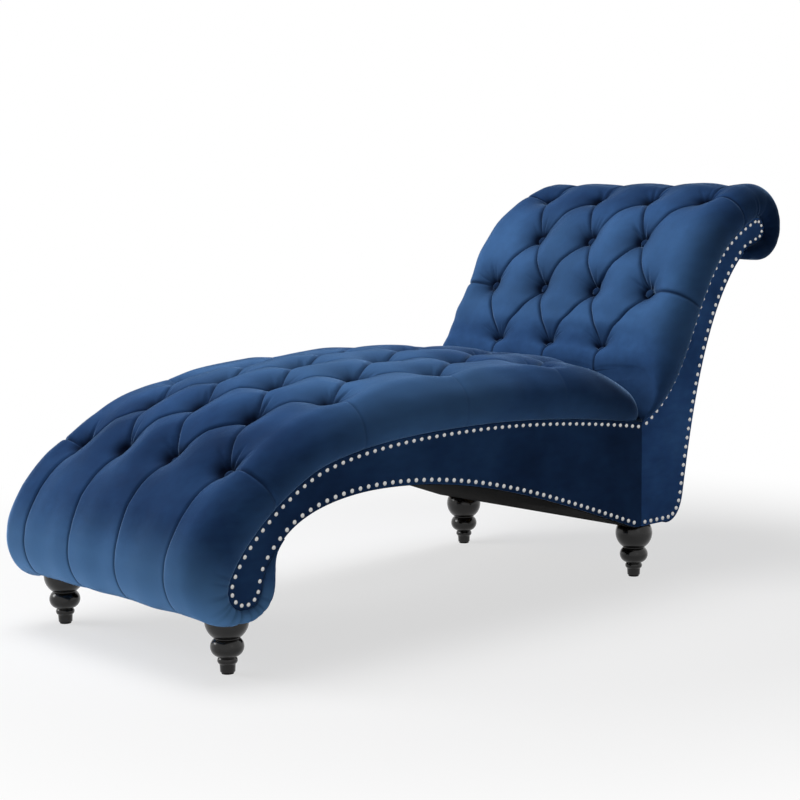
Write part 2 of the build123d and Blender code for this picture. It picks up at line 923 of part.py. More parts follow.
ball_top_radius = math.sqrt(bun_radius ** 2 - (bun_height - ball_top_height) ** 2)
bun_top_radius = math.sqrt(bun_radius ** 2 - (underside_height - bun_height) ** 2)

for name, (across, along) in foot_spots.items():
    with BuildPart() as foot:
        with BuildSketch(Plane(origin=(across, along, 0), x_dir=(1, 0, 0), z_dir=(0, -1, 0))):
            with BuildLine():
                Line((0, glide_height), (toe_taper_radius, glide_height))
                Line((toe_taper_radius, glide_height), (ankle_radius, ankle_height))
                ThreePointArc((ankle_radius, ankle_height), (bead_radius, bead_height),
                              (bead_top_radius, bead_top_height))
                Spline((bead_top_radius, bead_top_height), (ball_radius, ball_height),
                       (ball_top_radius, ball_top_height))
                ThreePointArc((ball_top_radius, ball_top_height), (bun_radius, bun_height),
                              (bun_top_radius, underside_height))
                Line((bun_top_radius, underside_height), (boss_radius, underside_height))
                Line((boss_radius, underside_height), (boss_radius, rail_bottom))
                Line((boss_radius, rail_bottom), (0, rail_bottom))
                Line((0, rail_bottom), (0, glide_height))
            make_face()
        revolve(axis=Axis((across, along, 0), (0, 0, 1)))
        with Locations((across, along, rail_bottom - stud_in_foot - screw_gap)):
            Cylinder(stud_radius + screw_gap, stud_in_foot + screw_gap, align=upward, mode=Mode.SUBTRACT)
        with Locations((across, along, glide_height)):
            Cylinder(glide_pin_radius + screw_gap, glide_pin_length + screw_gap, align=upward,
                     mode=Mode.SUBTRACT)
    finish(foot, "foot_" + name)

with BuildPart() as foot_studs:
    for across, along in foot_spots.values():
        with Locations((across, along, rail_bottom - stud_in_foot)):
            Cylinder(stud_radius, stud_in_foot + stud_in_rail, align=upward)
finish(foot_studs, "foot_studs")

with BuildPart() as insert_nuts:
    for across, along in foot_spots.values():
        with Locations((across, along, rail_bottom)):
            Cylinder(insert_radius, insert_height, align=upward)
            Cylinder(stud_radius + screw_gap, insert_height, align=upward, mode=Mode.SUBTRACT)
finish(insert_nuts, "insert_nuts")

with BuildPart() as foot_glides:
    for across, along in foot_spots.values():
        with Locations((across, along, 0)):
            Cylinder(glide_radius, glide_height, align=upward)
            Cylinder(glide_pin_radius, glide_height + glide_pin_length, align=upward)
finish(foot_glides, "foot_glides")
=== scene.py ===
import json
import math

import bpy
import numpy as np
from mathutils import Matrix, Vector


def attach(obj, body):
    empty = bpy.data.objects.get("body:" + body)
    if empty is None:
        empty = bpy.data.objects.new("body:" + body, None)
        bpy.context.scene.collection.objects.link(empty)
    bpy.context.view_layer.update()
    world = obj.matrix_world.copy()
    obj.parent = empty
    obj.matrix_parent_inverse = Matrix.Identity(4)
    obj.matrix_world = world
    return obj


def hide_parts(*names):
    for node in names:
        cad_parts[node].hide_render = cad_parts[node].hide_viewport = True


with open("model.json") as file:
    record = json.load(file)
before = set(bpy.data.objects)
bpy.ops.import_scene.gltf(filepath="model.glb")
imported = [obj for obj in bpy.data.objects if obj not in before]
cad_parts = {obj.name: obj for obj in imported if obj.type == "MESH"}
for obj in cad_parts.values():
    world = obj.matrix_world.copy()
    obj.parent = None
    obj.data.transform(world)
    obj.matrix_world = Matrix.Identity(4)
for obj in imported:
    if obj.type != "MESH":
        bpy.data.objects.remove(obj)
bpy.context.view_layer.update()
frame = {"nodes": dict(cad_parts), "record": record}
bpy.context.scene.view_settings.view_transform = "Standard"
print("frame loaded:", len(frame["nodes"]), "nodes")

# side outline, each place as (along the chaise, up)
outline = {
    "toe": (-0.7135, 0.156), "toeRadius": 0.039, "toeStart": 160, "toeEnd": 350,
    "head": (0.754, 0.738), "headRadius": 0.028, "headStart": 110, "headEnd": -70,
    "corner": (0.357, 0.341), "hump": (-0.152, 0.385), "knee": (-0.5215, 0.352),
    "arch": (-0.3915, 0.292), "instep": (-0.6235, 0.231), "archFoot": (0.340, 0.117),
    "waist": (0.527, 0.546), "nape": (0.708, 0.690), "heel": (0.495, 0.172),
    "base": (0.443, 0.117), "seamFoot": (0.357, 0.117), "halfWidth": 0.300,
}
# direction in degrees and reach at the start and at the end of each side curve
curveShapes = {
    "cornerToHump": (171, 0.164, 180, 0.165),
    "humpToKnee": (180, 0.125, 194.7, 0.120),
    "kneeToToe": (194.7, 0.077, 250, 0.077),
    "toeToInstep": (80, 0.034, 42, 0.053),
    "instepToArch": (42, 0.076, 0, 0.066),
    "archToFoot": (0, 0.253, -19, 0.254),
    "cornerToWaist": (28.3, 0.102, 62.4, 0.099),
    "waistToHead": (62.4, 0.111, 20, 0.129),
    "headToNape": (200, 0.019, 219, 0.017),
    "napeToHeel": (219, 0.171, 259.7, 0.189),
    "heelToBase": (259.7, 0.030, 180, 0.030),
}


def polar(centre, radius, angle):
    turn = math.radians(angle)
    return np.array((centre[0] + radius * math.cos(turn), centre[1] + radius * math.sin(turn)))


def bendRun(start, end, shape, count=160):
    startAngle, startReach, endAngle, endReach = curveShapes[shape]
    first = polar(start, startReach, startAngle)
    last = polar(end, -endReach, endAngle)
    t = np.linspace(0, 1, count)[:, None]
    return ((1 - t) ** 3 * np.array(start) + 3 * t * (1 - t) ** 2 * first
            + 3 * t ** 2 * (1 - t) * last + t ** 3 * np.array(end))


def loopRun(centre, radius, start, end, count=160):
    return np.array([polar(centre, radius, angle) for angle in np.linspace(start, end, count)])


def lineRun(start, end, count=60):
    return np.linspace(start, end, count)


def joinRuns(*runs):
    # one curve with its travel and its direction at every point
    points = np.concatenate([runs[0]] + [run[1:] for run in runs[1:]])
    steps = np.linalg.norm(np.diff(points, axis=0), axis=1)
    travel = np.concatenate(([0.0], np.cumsum(steps)))
    heading = np.gradient(points, travel, axis=0)
    heading /= np.linalg.norm(heading, axis=1)[:, None]
    return {"points": points, "travel": travel, "heading": heading, "length": travel[-1]}


def along(curve, distance):
    place = np.stack([np.interp(distance, curve["travel"], curve["points"][:, k]) for k in (0, 1)], axis=-1)
    heading = np.stack([np.interp(distance, curve["travel"], curve["heading"][:, k]) for k in (0, 1)], axis=-1)
    return place, heading / np.linalg.norm(heading, axis=-1, keepdims=True)


toeStart = polar(outline["toe"], outline["toeRadius"], outline["toeStart"])
toeEnd = polar(outline["toe"], outline["toeRadius"], outline["toeEnd"])
headStart = polar(outline["head"], outline["headRadius"], outline["headStart"])
headEnd = polar(outline["head"], outline["headRadius"], outline["headEnd"])

seatTopRuns = (
    bendRun(outline["corner"], outline["hump"], "cornerToHump"),
    bendRun(outline["hump"], outline["knee"], "humpToKnee"),
    bendRun(outline["knee"], toeStart, "kneeToToe"),
)
toeRuns = (
    loopRun(outline["toe"], outline["toeRadius"], outline["toeStart"], outline["toeEnd"]),
    bendRun(toeEnd, outline["instep"], "toeToInstep"),
)
archRuns = (
    bendRun(outline["instep"], outline["arch"], "instepToArch"),
    bendRun(outline["arch"], outline["archFoot"], "archToFoot"),
)
backFrontRuns = (
    bendRun(outline["corner"], outline["waist"], "cornerToWaist"),
    bendRun(outline["waist"], headStart, "waistToHead"),
)
headRuns = (
    loopRun(outline["head"], outline["headRadius"], outline["headStart"], outline["headEnd"]),
    bendRun(headEnd, outline["nape"], "headToNape"),
)
rearRuns = (
    bendRun(outline["nape"], outline["heel"], "napeToHeel"),
    bendRun(outline["heel"], outline["base"], "heelToBase"),
)
seatTop = joinRuns(*seatTopRuns)
seatDeck = joinRuns(*seatTopRuns, *toeRuns)
backFront = joinRuns(*backFrontRuns)
backDeck = joinRuns(*backFrontRuns, *headRuns)
seatRim = joinRuns(*seatTopRuns, *toeRuns, *archRuns)
backRim = joinRuns(*backFrontRuns, *headRuns, *rearRuns, lineRun(outline["base"], outline["seamFoot"]))
archEdge = joinRuns(*archRuns)
rearEdge = joinRuns(*rearRuns)


def smoothStep(low, high, value):
    t = np.clip((value - low) / (high - low), 0, 1)
    return t * t * (3 - 2 * t)


def linkMesh(name, points, faces):
    mesh = bpy.data.meshes.new(name)
    mesh.from_pydata([tuple(p) for p in points], [], faces)
    mesh.polygons.foreach_set("use_smooth", [True] * len(mesh.polygons))
    mesh.update()
    piece = bpy.data.objects.new(name, mesh)
    bpy.context.scene.collection.objects.link(piece)
    return piece


def makeActive(piece):
    bpy.ops.object.select_all(action="DESELECT")
    piece.select_set(True)
    bpy.context.view_layer.objects.active = piece


def faceOutwards(piece):
    makeActive(piece)
    bpy.ops.object.mode_set(mode="EDIT")
    bpy.ops.mesh.select_all(action="SELECT")
    bpy.ops.mesh.normals_make_consistent(inside=False)
    bpy.ops.object.mode_set(mode="OBJECT")


def dress(piece, material, slot, *nodes):
    piece.data.materials.clear()
    piece.data.materials.append(material)
    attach(piece, "root")
    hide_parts(*nodes)


# materials, on Object coordinates; the velvet of the cushions also takes their attributes of painted light and
# painted shade

noiseSpan = (0.3, 0.7)


def newMaterial(name):
    material = bpy.data.materials.new(name)
    material.use_nodes = True
    nodes = material.node_tree.nodes
    return material, nodes, material.node_tree.links, nodes["Principled BSDF"]


def setInputs(node, values):
    for key, value in values.items():
        node.inputs[key].default_value = value


def noiseNode(nodes, links, scale, detail, stretch=None):
    coords = nodes.new("ShaderNodeTexCoord")
    noise = nodes.new("ShaderNodeTexNoise")
    setInputs(noise, {"Scale": scale, "Detail": detail})
    if stretch:
        mapping = nodes.new("ShaderNodeMapping")
        mapping.inputs["Scale"].default_value = stretch
        links.new(coords.outputs["Object"], mapping.inputs["Vector"])
        links.new(mapping.outputs["Vector"], noise.inputs["Vector"])
    else:
        links.new(coords.outputs["Object"], noise.inputs["Vector"])
    return noise.outputs["Fac"]


def rampNode(nodes, links, source, stops):
    ramp = nodes.new("ShaderNodeValToRGB")
    elements = ramp.color_ramp.elements
    elements[0].position, elements[0].color = stops[0][0], (*stops[0][1], 1)
    elements[1].position, elements[1].color = stops[-1][0], (*stops[-1][1], 1)
    for position, colour in stops[1:-1]:
        elements.new(position).color = (*colour, 1)
    links.new(source, ramp.inputs["Fac"])
    return ramp.outputs["Color"]


def mixNode(nodes, links, factor, first, second, blend="MIX"):
    mix = nodes.new("ShaderNodeMix")
    mix.data_type = "RGBA"
    mix.blend_type = blend
    # sockets 0, 6 and 7 are the factor and the two colours
    for value, socket in ((factor, mix.inputs[0]), (first, mix.inputs[6]), (second, mix.inputs[7])):
        if isinstance(value, bpy.types.NodeSocket):
            links.new(value, socket)
        elif isinstance(value, tuple):
            socket.default_value = (*value, 1)
        else:
            socket.default_value = value
    return mix.outputs[2]


def bumpNode(nodes, links, height, strength, distance, under=None):
    bump = nodes.new("ShaderNodeBump")
    setInputs(bump, {"Strength": strength, "Distance": distance})
    links.new(height, bump.inputs["Height"])
    if under:
        links.new(under, bump.inputs["Normal"])
    return bump.outputs["Normal"]


def rangeNode(nodes, links, source, low, high):
    # the span that holds most of a noise, spread from low to high
    spread = nodes.new("ShaderNodeMapRange")
    setInputs(spread, {"From Min": noiseSpan[0], "From Max": noiseSpan[1], "To Min": low, "To Max": high})
    links.new(source, spread.inputs["Value"])
    return spread.outputs["Result"]


velvetLook = {
    "dark": (0.0125, 0.0350, 0.103), "mid": (0.0221, 0.0636, 0.178), "light": (0.0348, 0.0972, 0.250),
    # after the three random shades: a lighter blue laid on as painted light, and a near-black multiplied in as
    # painted shade
    "stops": (0.25, 0.5, 0.75), "paintedLightBand": (0.125, 0.293, 0.576), "paintedShadeColour": (0.07, 0.07, 0.10),
    "streaks": ((0.3, (0.82, 0.82, 0.84)), (0.7, (1.12, 1.12, 1.1))), "streakShare": 0.7,
    "roughness": (0.78, 0.95), "finish": {"Specular IOR Level": 0.03, "Sheen Weight": 1.0, "Sheen Roughness": 0.30,
                                          "Sheen Tint": (0.36, 0.60, 1.0, 1)},
    "napScale": 5.5, "napDetail": 3.0, "pileScale": 1500, "pileDetail": 1.0, "pileBump": (0.35, 0.0006),
    "brushScale": 60, "brushDetail": 4.0, "brushStretch": (1.0, 0.35, 1.0), "brushBump": (0.10, 0.004),
}


def makeVelvet(name, lift=1.0, withPaintedLightAndShade=False):
    look = velvetLook
    material, nodes, links, shader = newMaterial(name)
    napAndPaintedLight = noiseNode(nodes, links, look["napScale"], look["napDetail"])
    brushed = noiseNode(nodes, links, look["brushScale"], look["brushDetail"], look["brushStretch"])
    pile = noiseNode(nodes, links, look["pileScale"], look["pileDetail"])
    # lift scales all three shades, so that copies of one velvet are painted darker for shade and lighter for light
    shades = [tuple(lift * part for part in look[key]) for key in ("dark", "mid", "light")]
    colour = rampNode(nodes, links, napAndPaintedLight, list(zip(look["stops"], shades)))
    streaks = rampNode(nodes, links, brushed, look["streaks"])
    colour = mixNode(nodes, links, look["streakShare"], colour, streaks, "MULTIPLY")
    if withPaintedLightAndShade:
        # painted light: a lighter blue mixed in along bands; painted shade: the colour darkened in creases, pits,
        # wrinkles, gathers and darker bands
        band = nodes.new("ShaderNodeAttribute")
        band.attribute_name = "napAndPaintedLight"
        colour = mixNode(nodes, links, band.outputs["Fac"], colour, look["paintedLightBand"])
        paintedShade = nodes.new("ShaderNodeAttribute")
        paintedShade.attribute_name = "paintedShade"
        colour = mixNode(nodes, links, paintedShade.outputs["Fac"], colour, look["paintedShadeColour"], "MULTIPLY")
    links.new(colour, shader.inputs["Base Color"])
    links.new(rangeNode(nodes, links, brushed, *look["roughness"]), shader.inputs["Roughness"])
    setInputs(shader, look["finish"])
    coarse = bumpNode(nodes, links, brushed, *look["brushBump"])
    links.new(bumpNode(nodes, links, pile, *look["pileBump"], coarse), shader.inputs["Normal"])
    return material


def makeGrained(name, look):
    material, nodes, links, shader = newMaterial(name)
    grain = noiseNode(nodes, links, look["scale"], look["detail"], look["stretch"])
    links.new(rampNode(nodes, links, grain, look["tones"]), shader.inputs["Base Color"])
    links.new(rangeNode(nodes, links, grain, *look["roughness"]), shader.inputs["Roughness"])
    links.new(bumpNode(nodes, links, grain, *look["bump"]), shader.inputs["Normal"])
    setInputs(shader, look["finish"])
    return material


lacquerLook = {
    "scale": 60, "detail": 4.0, "stretch": (1.0, 1.0, 0.15), "roughness": (0.18, 0.28), "bump": (0.08, 0.001),
    "tones": ((0.3, (0.0035, 0.0032, 0.003)), (0.7, (0.007, 0.0062, 0.0058))),
    "finish": {"Specular IOR Level": 0.3, "Coat Weight": 0.25, "Coat Roughness": 0.08},
}
timberLook = {
    "scale": 40, "detail": 6.0, "stretch": (1.0, 0.06, 1.0), "roughness": (0.55, 0.75), "bump": (0.2, 0.001),
    "tones": ((0.3, (0.32, 0.19, 0.09)), (0.5, (0.45, 0.29, 0.15)), (0.7, (0.55, 0.38, 0.21))), "finish": {},
}
metalLook = {"detail": 3.0, "stretch": None, "bump": (0.05, 0.0005), "finish": {"Metallic": 1.0}}
metalWear = {"shade": 0.86, "stops": (0.3, 0.65)}


def makeMetal(name, colour, roughness, scale):
    worn = tuple(metalWear["shade"] * part for part in colour)
    tones = list(zip(metalWear["stops"], (worn, colour)))
    return makeGrained(name, {**metalLook, "scale": scale, "tones": tones, "roughness": roughness})


clothLook = {
    "weaveStops": (0.1, 0.6), "toneScale": 14, "toneDetail": 3.0, "toneShare": 0.8,
    "tones": ((0.3, (0.85, 0.85, 0.85)), (0.7, (1.1, 1.1, 1.1))), "specular": 0.1, "bump": (0.4, 0.0008),
}


def makeCloth(name, dark, light, scale, roughness):
    look = clothLook
    material, nodes, links, shader = newMaterial(name)
    weave = nodes.new("ShaderNodeTexVoronoi")
    coords = nodes.new("ShaderNodeTexCoord")
    weave.inputs["Scale"].default_value = scale
    links.new(coords.outputs["Object"], weave.inputs["Vector"])
    shade = noiseNode(nodes, links, look["toneScale"], look["toneDetail"])
    colour = rampNode(nodes, links, weave.outputs["Distance"], list(zip(look["weaveStops"], (dark, light))))
    tone = rampNode(nodes, links, shade, look["tones"])
    links.new(mixNode(nodes, links, look["toneShare"], colour, tone, "MULTIPLY"), shader.inputs["Base Color"])
    setInputs(shader, {"Roughness": roughness, "Specular IOR Level": look["specular"]})
    links.new(bumpNode(nodes, links, weave.outputs["Distance"], *look["bump"]), shader.inputs["Normal"])
    return material


cushionVelvet = makeVelvet("cushionVelvet", withPaintedLightAndShade=True)
# copies of one velvet: the seat facings darker as painted shade under the cushion's overhang, the back facings and
# outside back lighter as painted light together with their lighter nap, and the buttons darker as painted shade at
# the bottom of the pits
seatSideShadedVelvet = makeVelvet("seatSideShadedVelvet", lift=0.80)
backSideLitVelvet = makeVelvet("backSideLitVelvet", lift=2.1)
buttonShadedVelvet = makeVelvet("buttonShadedVelvet", lift=0.4)
blackLacquer = makeGrained("blackLacquer", lacquerLook)
nickel = makeMetal("polishedNickel", (0.54, 0.54, 0.53), roughness=(0.14, 0.24), scale=900)
cambric = makeCloth("blackCambric", (0.001, 0.001, 0.0012), (0.004, 0.004, 0.0042), scale=900, roughness=1.0)
carriedFinishes = {
    "frame_wood": makeGrained("frameTimber", timberLook),
    "spring_steel": makeMetal("springSteel", (0.33, 0.33, 0.35), roughness=(0.3, 0.5), scale=200),
    "fixing_steel": makeMetal("zincSteel", (0.6, 0.6, 0.58), roughness=(0.28, 0.42), scale=300),
    "hessian": makeCloth("hessian", (0.18, 0.12, 0.06), (0.46, 0.35, 0.20), scale=350, roughness=0.95),
    "foam": makeCloth("foam", (0.6, 0.55, 0.4), (0.85, 0.8, 0.64), scale=600, roughness=0.95),
    "glide": makeCloth("glidePlastic", (0.02, 0.02, 0.02), (0.04, 0.04, 0.04), scale=1500, roughness=0.5),
}
for entry in frame["record"]["subparts"]:
    finish = carriedFinishes.get(entry["material_slot"])
    if finish:
        node = frame["nodes"][entry["node"]]
        node.data.materials.clear()
        node.data.materials.append(finish)
print("materials ready")

# tufted cushions: one pattern of buttons, diagonal folds and side pleats, laid over each deck

# lengths in metres; hem, fade and gather spans are shares of the way to the hem, sideSmoothSpan counts columns
tuft = {
    "outerColumn": 3, "sideSpan": 0.26, "endSpan": 0.15, "innerSpan": 0.13, "cornerEase": (0.035, 0.05),
    "pit": 0.0235, "pitReach": 0.082, "pitPower": 2.0, "well": 0.010, "wellWidth": 0.013,
    "groove": 0.0042, "grooveWidth": 0.0034, "lineWidth": 0.0028, "grooveFade": 0.6, "grooveFadeSpan": (0.3, 1.0),
    "fullGrooveBulge": 0.006, "leastGroove": 0.35,
    "wrinkle": 0.0036, "wrinkleCount": 7, "wrinkleWidth": 0.0027, "wrinkleSpread": 70, "wrinkleSizes": (0.3, 1.0),
    "wrinkleIn": (0.008, 0.016), "wrinkleOut": (0.024, 0.058), "wrinkleLeastGap": 0.012,
    "gather": 0.0022, "gatherPitch": 0.0125, "gatherWidth": 0.0021, "gatherShift": 0.003, "gatherLead": 0.01,
    "gatherSizes": (0.5, 1.0), "gatherSpan": (0.45, 0.9),
    # how much painted shade the creases, wrinkles, gathers, wells and pits get
    "creaseShade": 0.9, "wrinkleShade": 0.65, "gatherShade": 0.5, "wellShade": 0.9, "pitShade": 1.1, "pitShadePower": 1.25,
    "unevenness": 0.0011, "waveCount": 14, "waveLengths": (0.07, 0.22), "waveFadeSpan": (0.5, 1.0),
    "hemFlatten": 0.9, "hemFlattenSpan": (0.1, 0.95), "sideSmoothSpan": (2.9, 3.7), "creaseDropFade": 0.6,
    "tuckSideSpan": (0.240, 0.31), "crownReach": 0.36, "crownFadeSpan": (0.3, 0.9),
    "cornerRoundReach": 0.045, "cornerSpan": (0.05, 0.30), "cornerDraw": 0.03, "endRound": 0.008, "endReach": 0.016,
    "start": 0.0006, "step": 0.0024, "sideSteps": 62, "waist": 0.45, "flatTo": 0.240, "swellLimit": 0.6,
    "depthLimit": 0.6, "hemHoldSpan": (0.9, 1.0), "hemPaintedLightSpan": (0.55, 0.95), "easeReach": 0.03, "easeSteps": 13,
    "hem": 0.0001, "underside": 0.0021, "undersideEdge": 0.2965,
}
seatLook = {
    "rows": (0.131, 0.265, 0.404, 0.540, 0.678, 0.798, 0.904, 1.022), "halfPitch": 0.075,
    "padding": ((0, 0.118), (0.200, 0.119), (0.404, 0.119), (0.680, 0.113), (0.915, 0.105), (1.012, 0.104),
                (1.110, 0.100)),
    "loopPadding": ((160, 0.094), (180, 0.090), (205, 0.063), (225, 0.037), (270, 0.020), (315, 0.024), (350, 0.031)),
    "endPadding": ((0.070, 0.025), (0.045, 0.008), (0.020, 0.0015), (0, 0.001)),
    "bulge": ((0, 0.007), (0.1, 0.010), (1.012, 0.010), (1.10, 0.006), (1.20, 0.0018), (1.42, 0.0005)),
    "swell": 0.22, "leastSwell": 0.010, "creaseDrop": 0.020, "creaseReach": 0.060,
    "cornerFall": 0.60, "cornerReach": 0.240, "cornerRound": 0.20,
    "tuckDepth": 0.019, "tuckFrom": 195, "tuckTo": 240,
    "crown": ((0, 0.002, 0.002), (0.15, 0.006, 0.007), (0.35, 0.013, 0.014), (0.95, 0.014, 0.016),
              (1.06, 0.014, 0.004), (1.125, 0.012, 0), (1.150, 0.005, 0), (1.168, 0, 0)),
    # painted light near the hems and in bands along the cushion, and painted shade in bands at the rear by the back
    # and on the toe's upper pillow, partly standing for the velvet's nap
    "sidePleat": ((0.45, 0.12), (0.80, 0.45), (1.0, 1)), "sideSmooth": 0.65, "hemPaintedLight": 0.22,
    "paintedLightTable": ((0.36, 0), (0.50, 0.28), (0.75, 0.28), (0.92, 0), (1.15, 0), (1.225, 1), (1.28, 1), (1.34, 0)),
    "paintedShadeTable": ((0, 0.35), (0.18, 0.30), (0.36, 0), (0.90, 0), (1.00, 0.30), (1.12, 0.30), (1.16, 0.12), (1.19, 0)),
    "wrinkleAim": 180, "seed": 5, "fill": 0.85,
}
backLook = {
    "rows": (0.104, 0.295, 0.410, 0.529), "halfPitch": 0.077,
    "padding": ((0, 0.130), (0.095, 0.124), (0.190, 0.119), (0.285, 0.115), (0.400, 0.111), (0.520, 0.096)),
    "loopPadding": ((110, 0.085), (90, 0.079), (45, 0.062), (0, 0.048), (-45, 0.041), (-70, 0.042)),
    "endPadding": ((0.030, 0.036), (0.010, 0.024), (0, 0.014)),
    "bulge": ((0, 0.008), (0.1, 0.011), (0.52, 0.011), (0.60, 0.006), (0.68, 0.003), (0.74, 0.001)),
    "swell": 0.30, "leastSwell": 0.022, "creaseDrop": 0.012, "creaseReach": 0.050,
    "cornerFall": 0.0, "cornerReach": 0.1, "cornerRound": 0.0,
    "tuckDepth": 0.0, "tuckFrom": 0, "tuckTo": 1, "crown": ((0, 0, 0), (1, 0, 0)),
    # painted light in a band along the middle of the back and painted shade at the head, partly standing for the
    # velvet's nap
    "sidePleat": ((0, 1), (1, 1)), "sideSmooth": 0.35, "hemPaintedLight": 0.0,
    "paintedLightTable": ((0.10, 0.06), (0.20, 0.20), (0.42, 0.20), (0.50, 0)),
    "paintedShadeTable": ((0.50, 0), (0.56, 0.4), (0.68, 0.45), (0.75, 0.3)),
    "wrinkleAim": 0, "seed": 11, "fill": 0.85, "creaseAngle": 81, "fanLength": 0.270,
}


def paddingTable(look, firstLength, radius, fullLength):
    firstAngle = look["loopPadding"][0][0]
    table = list(look["padding"])
    for angle, value in look["loopPadding"]:
        table.append((firstLength + radius * math.radians(abs(angle - firstAngle)), value))
    table += [(fullLength - before, value) for before, value in look["endPadding"]]
    return np.array(table)


def smoothTable(table, distance):
    # straight steps between the given values, eased over a few centimetres
    reach = np.linspace(-tuft["easeReach"], tuft["easeReach"], tuft["easeSteps"])
    return np.mean([np.interp(distance + step, table[:, 0], table[:, 1]) for step in reach], axis=0)


def buttonPlaces(look):
    # rows of three and four in turn, counted in half pitches
    places = []
    for count, row in enumerate(look["rows"]):
        steps = (-2, 0, 2) if count % 2 == 0 else (-3, -1, 1, 3)
        places += [(row, step * look["halfPitch"]) for step in steps]
    return places


def crownRise(s, u, look):
    # the padding stands higher along the middle and lower at the shoulders
    place, rise, drop = np.array(look["crown"]).T
    share = 0.5 + 0.5 * np.cos(math.pi * np.clip(np.abs(u) / tuft["crownReach"], 0, 1))
    return np.interp(s, place, rise) * share - np.interp(s, place, drop) * (1 - share)


def cornerFall(s, u, look):
    # the share of its height that the padding loses towards the rear corners
    fall = look["cornerFall"] * np.clip(1 - s / look["cornerReach"], 0, 1) ** 2
    fall += look["cornerRound"] * np.clip(1 - s / tuft["cornerRoundReach"], 0, 1) ** 2
    return fall * smoothStep(*tuft["cornerSpan"], np.abs(u))


def creasePattern(s, u, look):
    # column among the buttons, fullness of each pillow and distance to its nearest crease
    outer = tuft["outerColumn"]
    rows = np.array((0.0,) + look["rows"])
    last = len(look["rows"])
    column = np.abs(u) / look["halfPitch"]
    row = np.interp(s, rows, np.arange(last + 1))
    heldRow = np.clip(row, 1, last)
    heldColumn = np.clip(column, 0, outer)
    p = (heldColumn + heldRow - 1) / 2
    q = (heldColumn - heldRow + 1) / 2
    p -= np.floor(p)
    q -= np.floor(q)
    pillow = 4 * np.sqrt(np.clip(p * (1 - p) * q * (1 - q), 0, None))
    nearEnd = (row >= last) | (row < 1)
    span = np.where(column > outer, tuft["sideSpan"], np.where(nearEnd, tuft["endSpan"], tuft["innerSpan"]))
    crease = np.minimum(np.minimum(p, 1 - p), np.minimum(q, 1 - q)) * span
    past = np.clip(s - rows[-1], 0, None)
    beyond = np.clip(np.abs(u) - outer * look["halfPitch"], 0, None)
    beyondEase, pastEase = tuft["cornerEase"]
    cornerPillow = np.sqrt((1 - np.exp(-beyond / beyondEase)) * (1 - np.exp(-past / pastEase)))
    inCorner = (column > outer) & (past > 0)
    pillow = np.where(inCorner, cornerPillow, pillow)
    crease = np.where(inCorner, np.minimum(beyond, past), crease)
    return column, pillow, crease


def pressButtons(s, u, look, rng, depth, paintedShade):
    # a wide pit and a small well under each button, with short wrinkles that run out of it; painted shade darkens the
    # pits, wells and wrinkles
    pit = np.zeros_like(depth)
    well = np.zeros_like(depth)
    for buttonS, buttonU in buttonPlaces(look):
        spread = tuft["wrinkleSpread"]
        turns = np.radians(look["wrinkleAim"] + rng.uniform(-spread, spread, tuft["wrinkleCount"]))
        sizes = rng.uniform(*tuft["wrinkleSizes"], tuft["wrinkleCount"])
        near = np.abs(s[:, 0] - buttonS) < tuft["pitReach"]
        ds = s[near] - buttonS
        du = u[near] - buttonU
        gap = np.hypot(ds, du)
        share = np.clip(1 - gap / tuft["pitReach"], 0, 1) ** tuft["pitPower"]
        pit[near] = np.maximum(pit[near], share)
        well[near] = np.maximum(well[near], np.exp(-(gap / tuft["wellWidth"]) ** 2))
        angle = np.arctan2(du, ds)
        window = smoothStep(*tuft["wrinkleIn"], gap) * (1 - smoothStep(*tuft["wrinkleOut"], gap))
        heldGap = np.maximum(gap, tuft["wrinkleLeastGap"])
        for turn, size in zip(turns, sizes):
            off = (angle - turn + math.pi) % (2 * math.pi) - math.pi
            wrinkle = size * window * np.exp(-(off * heldGap / tuft["wrinkleWidth"]) ** 2)
            depth[near] += tuft["wrinkle"] * wrinkle
            paintedShade[near] = np.maximum(paintedShade[near], tuft["wrinkleShade"] * wrinkle)
    depth += tuft["pit"] * pit + tuft["well"] * well
    buttonShade = tuft["wellShade"] * well + tuft["pitShade"] * pit ** tuft["pitShadePower"]
    return depth, np.maximum(paintedShade, np.clip(buttonShade, 0, 1))


def gatherHem(s, hemShare, loopSpan, rng, depth, paintedShade):
    # narrow gathers round the roll, deepest beside its hems and darkened with painted shade
    hemNear = smoothStep(*tuft["gatherSpan"], hemShare)
    for place in np.arange(*loopSpan, tuft["gatherPitch"]):
        place += rng.uniform(-tuft["gatherShift"], tuft["gatherShift"])
        strip = np.exp(-((s - place) / tuft["gatherWidth"]) ** 2) * hemNear * rng.uniform(*tuft["gatherSizes"])
        depth += tuft["gather"] * strip
        paintedShade = np.maximum(paintedShade, tuft["gatherShade"] * strip)
    return depth, paintedShade


def unevenWaves(s, u, rng):
    waves = np.zeros_like(s)
    for _ in range(tuft["waveCount"]):
        angle = rng.uniform(0, math.pi)
        wave = 2 * math.pi / rng.uniform(*tuft["waveLengths"])
        phase = rng.uniform(0, 2 * math.pi)
        waves += np.sin(wave * (math.cos(angle) * s + math.sin(angle) * u) + phase)
    return waves


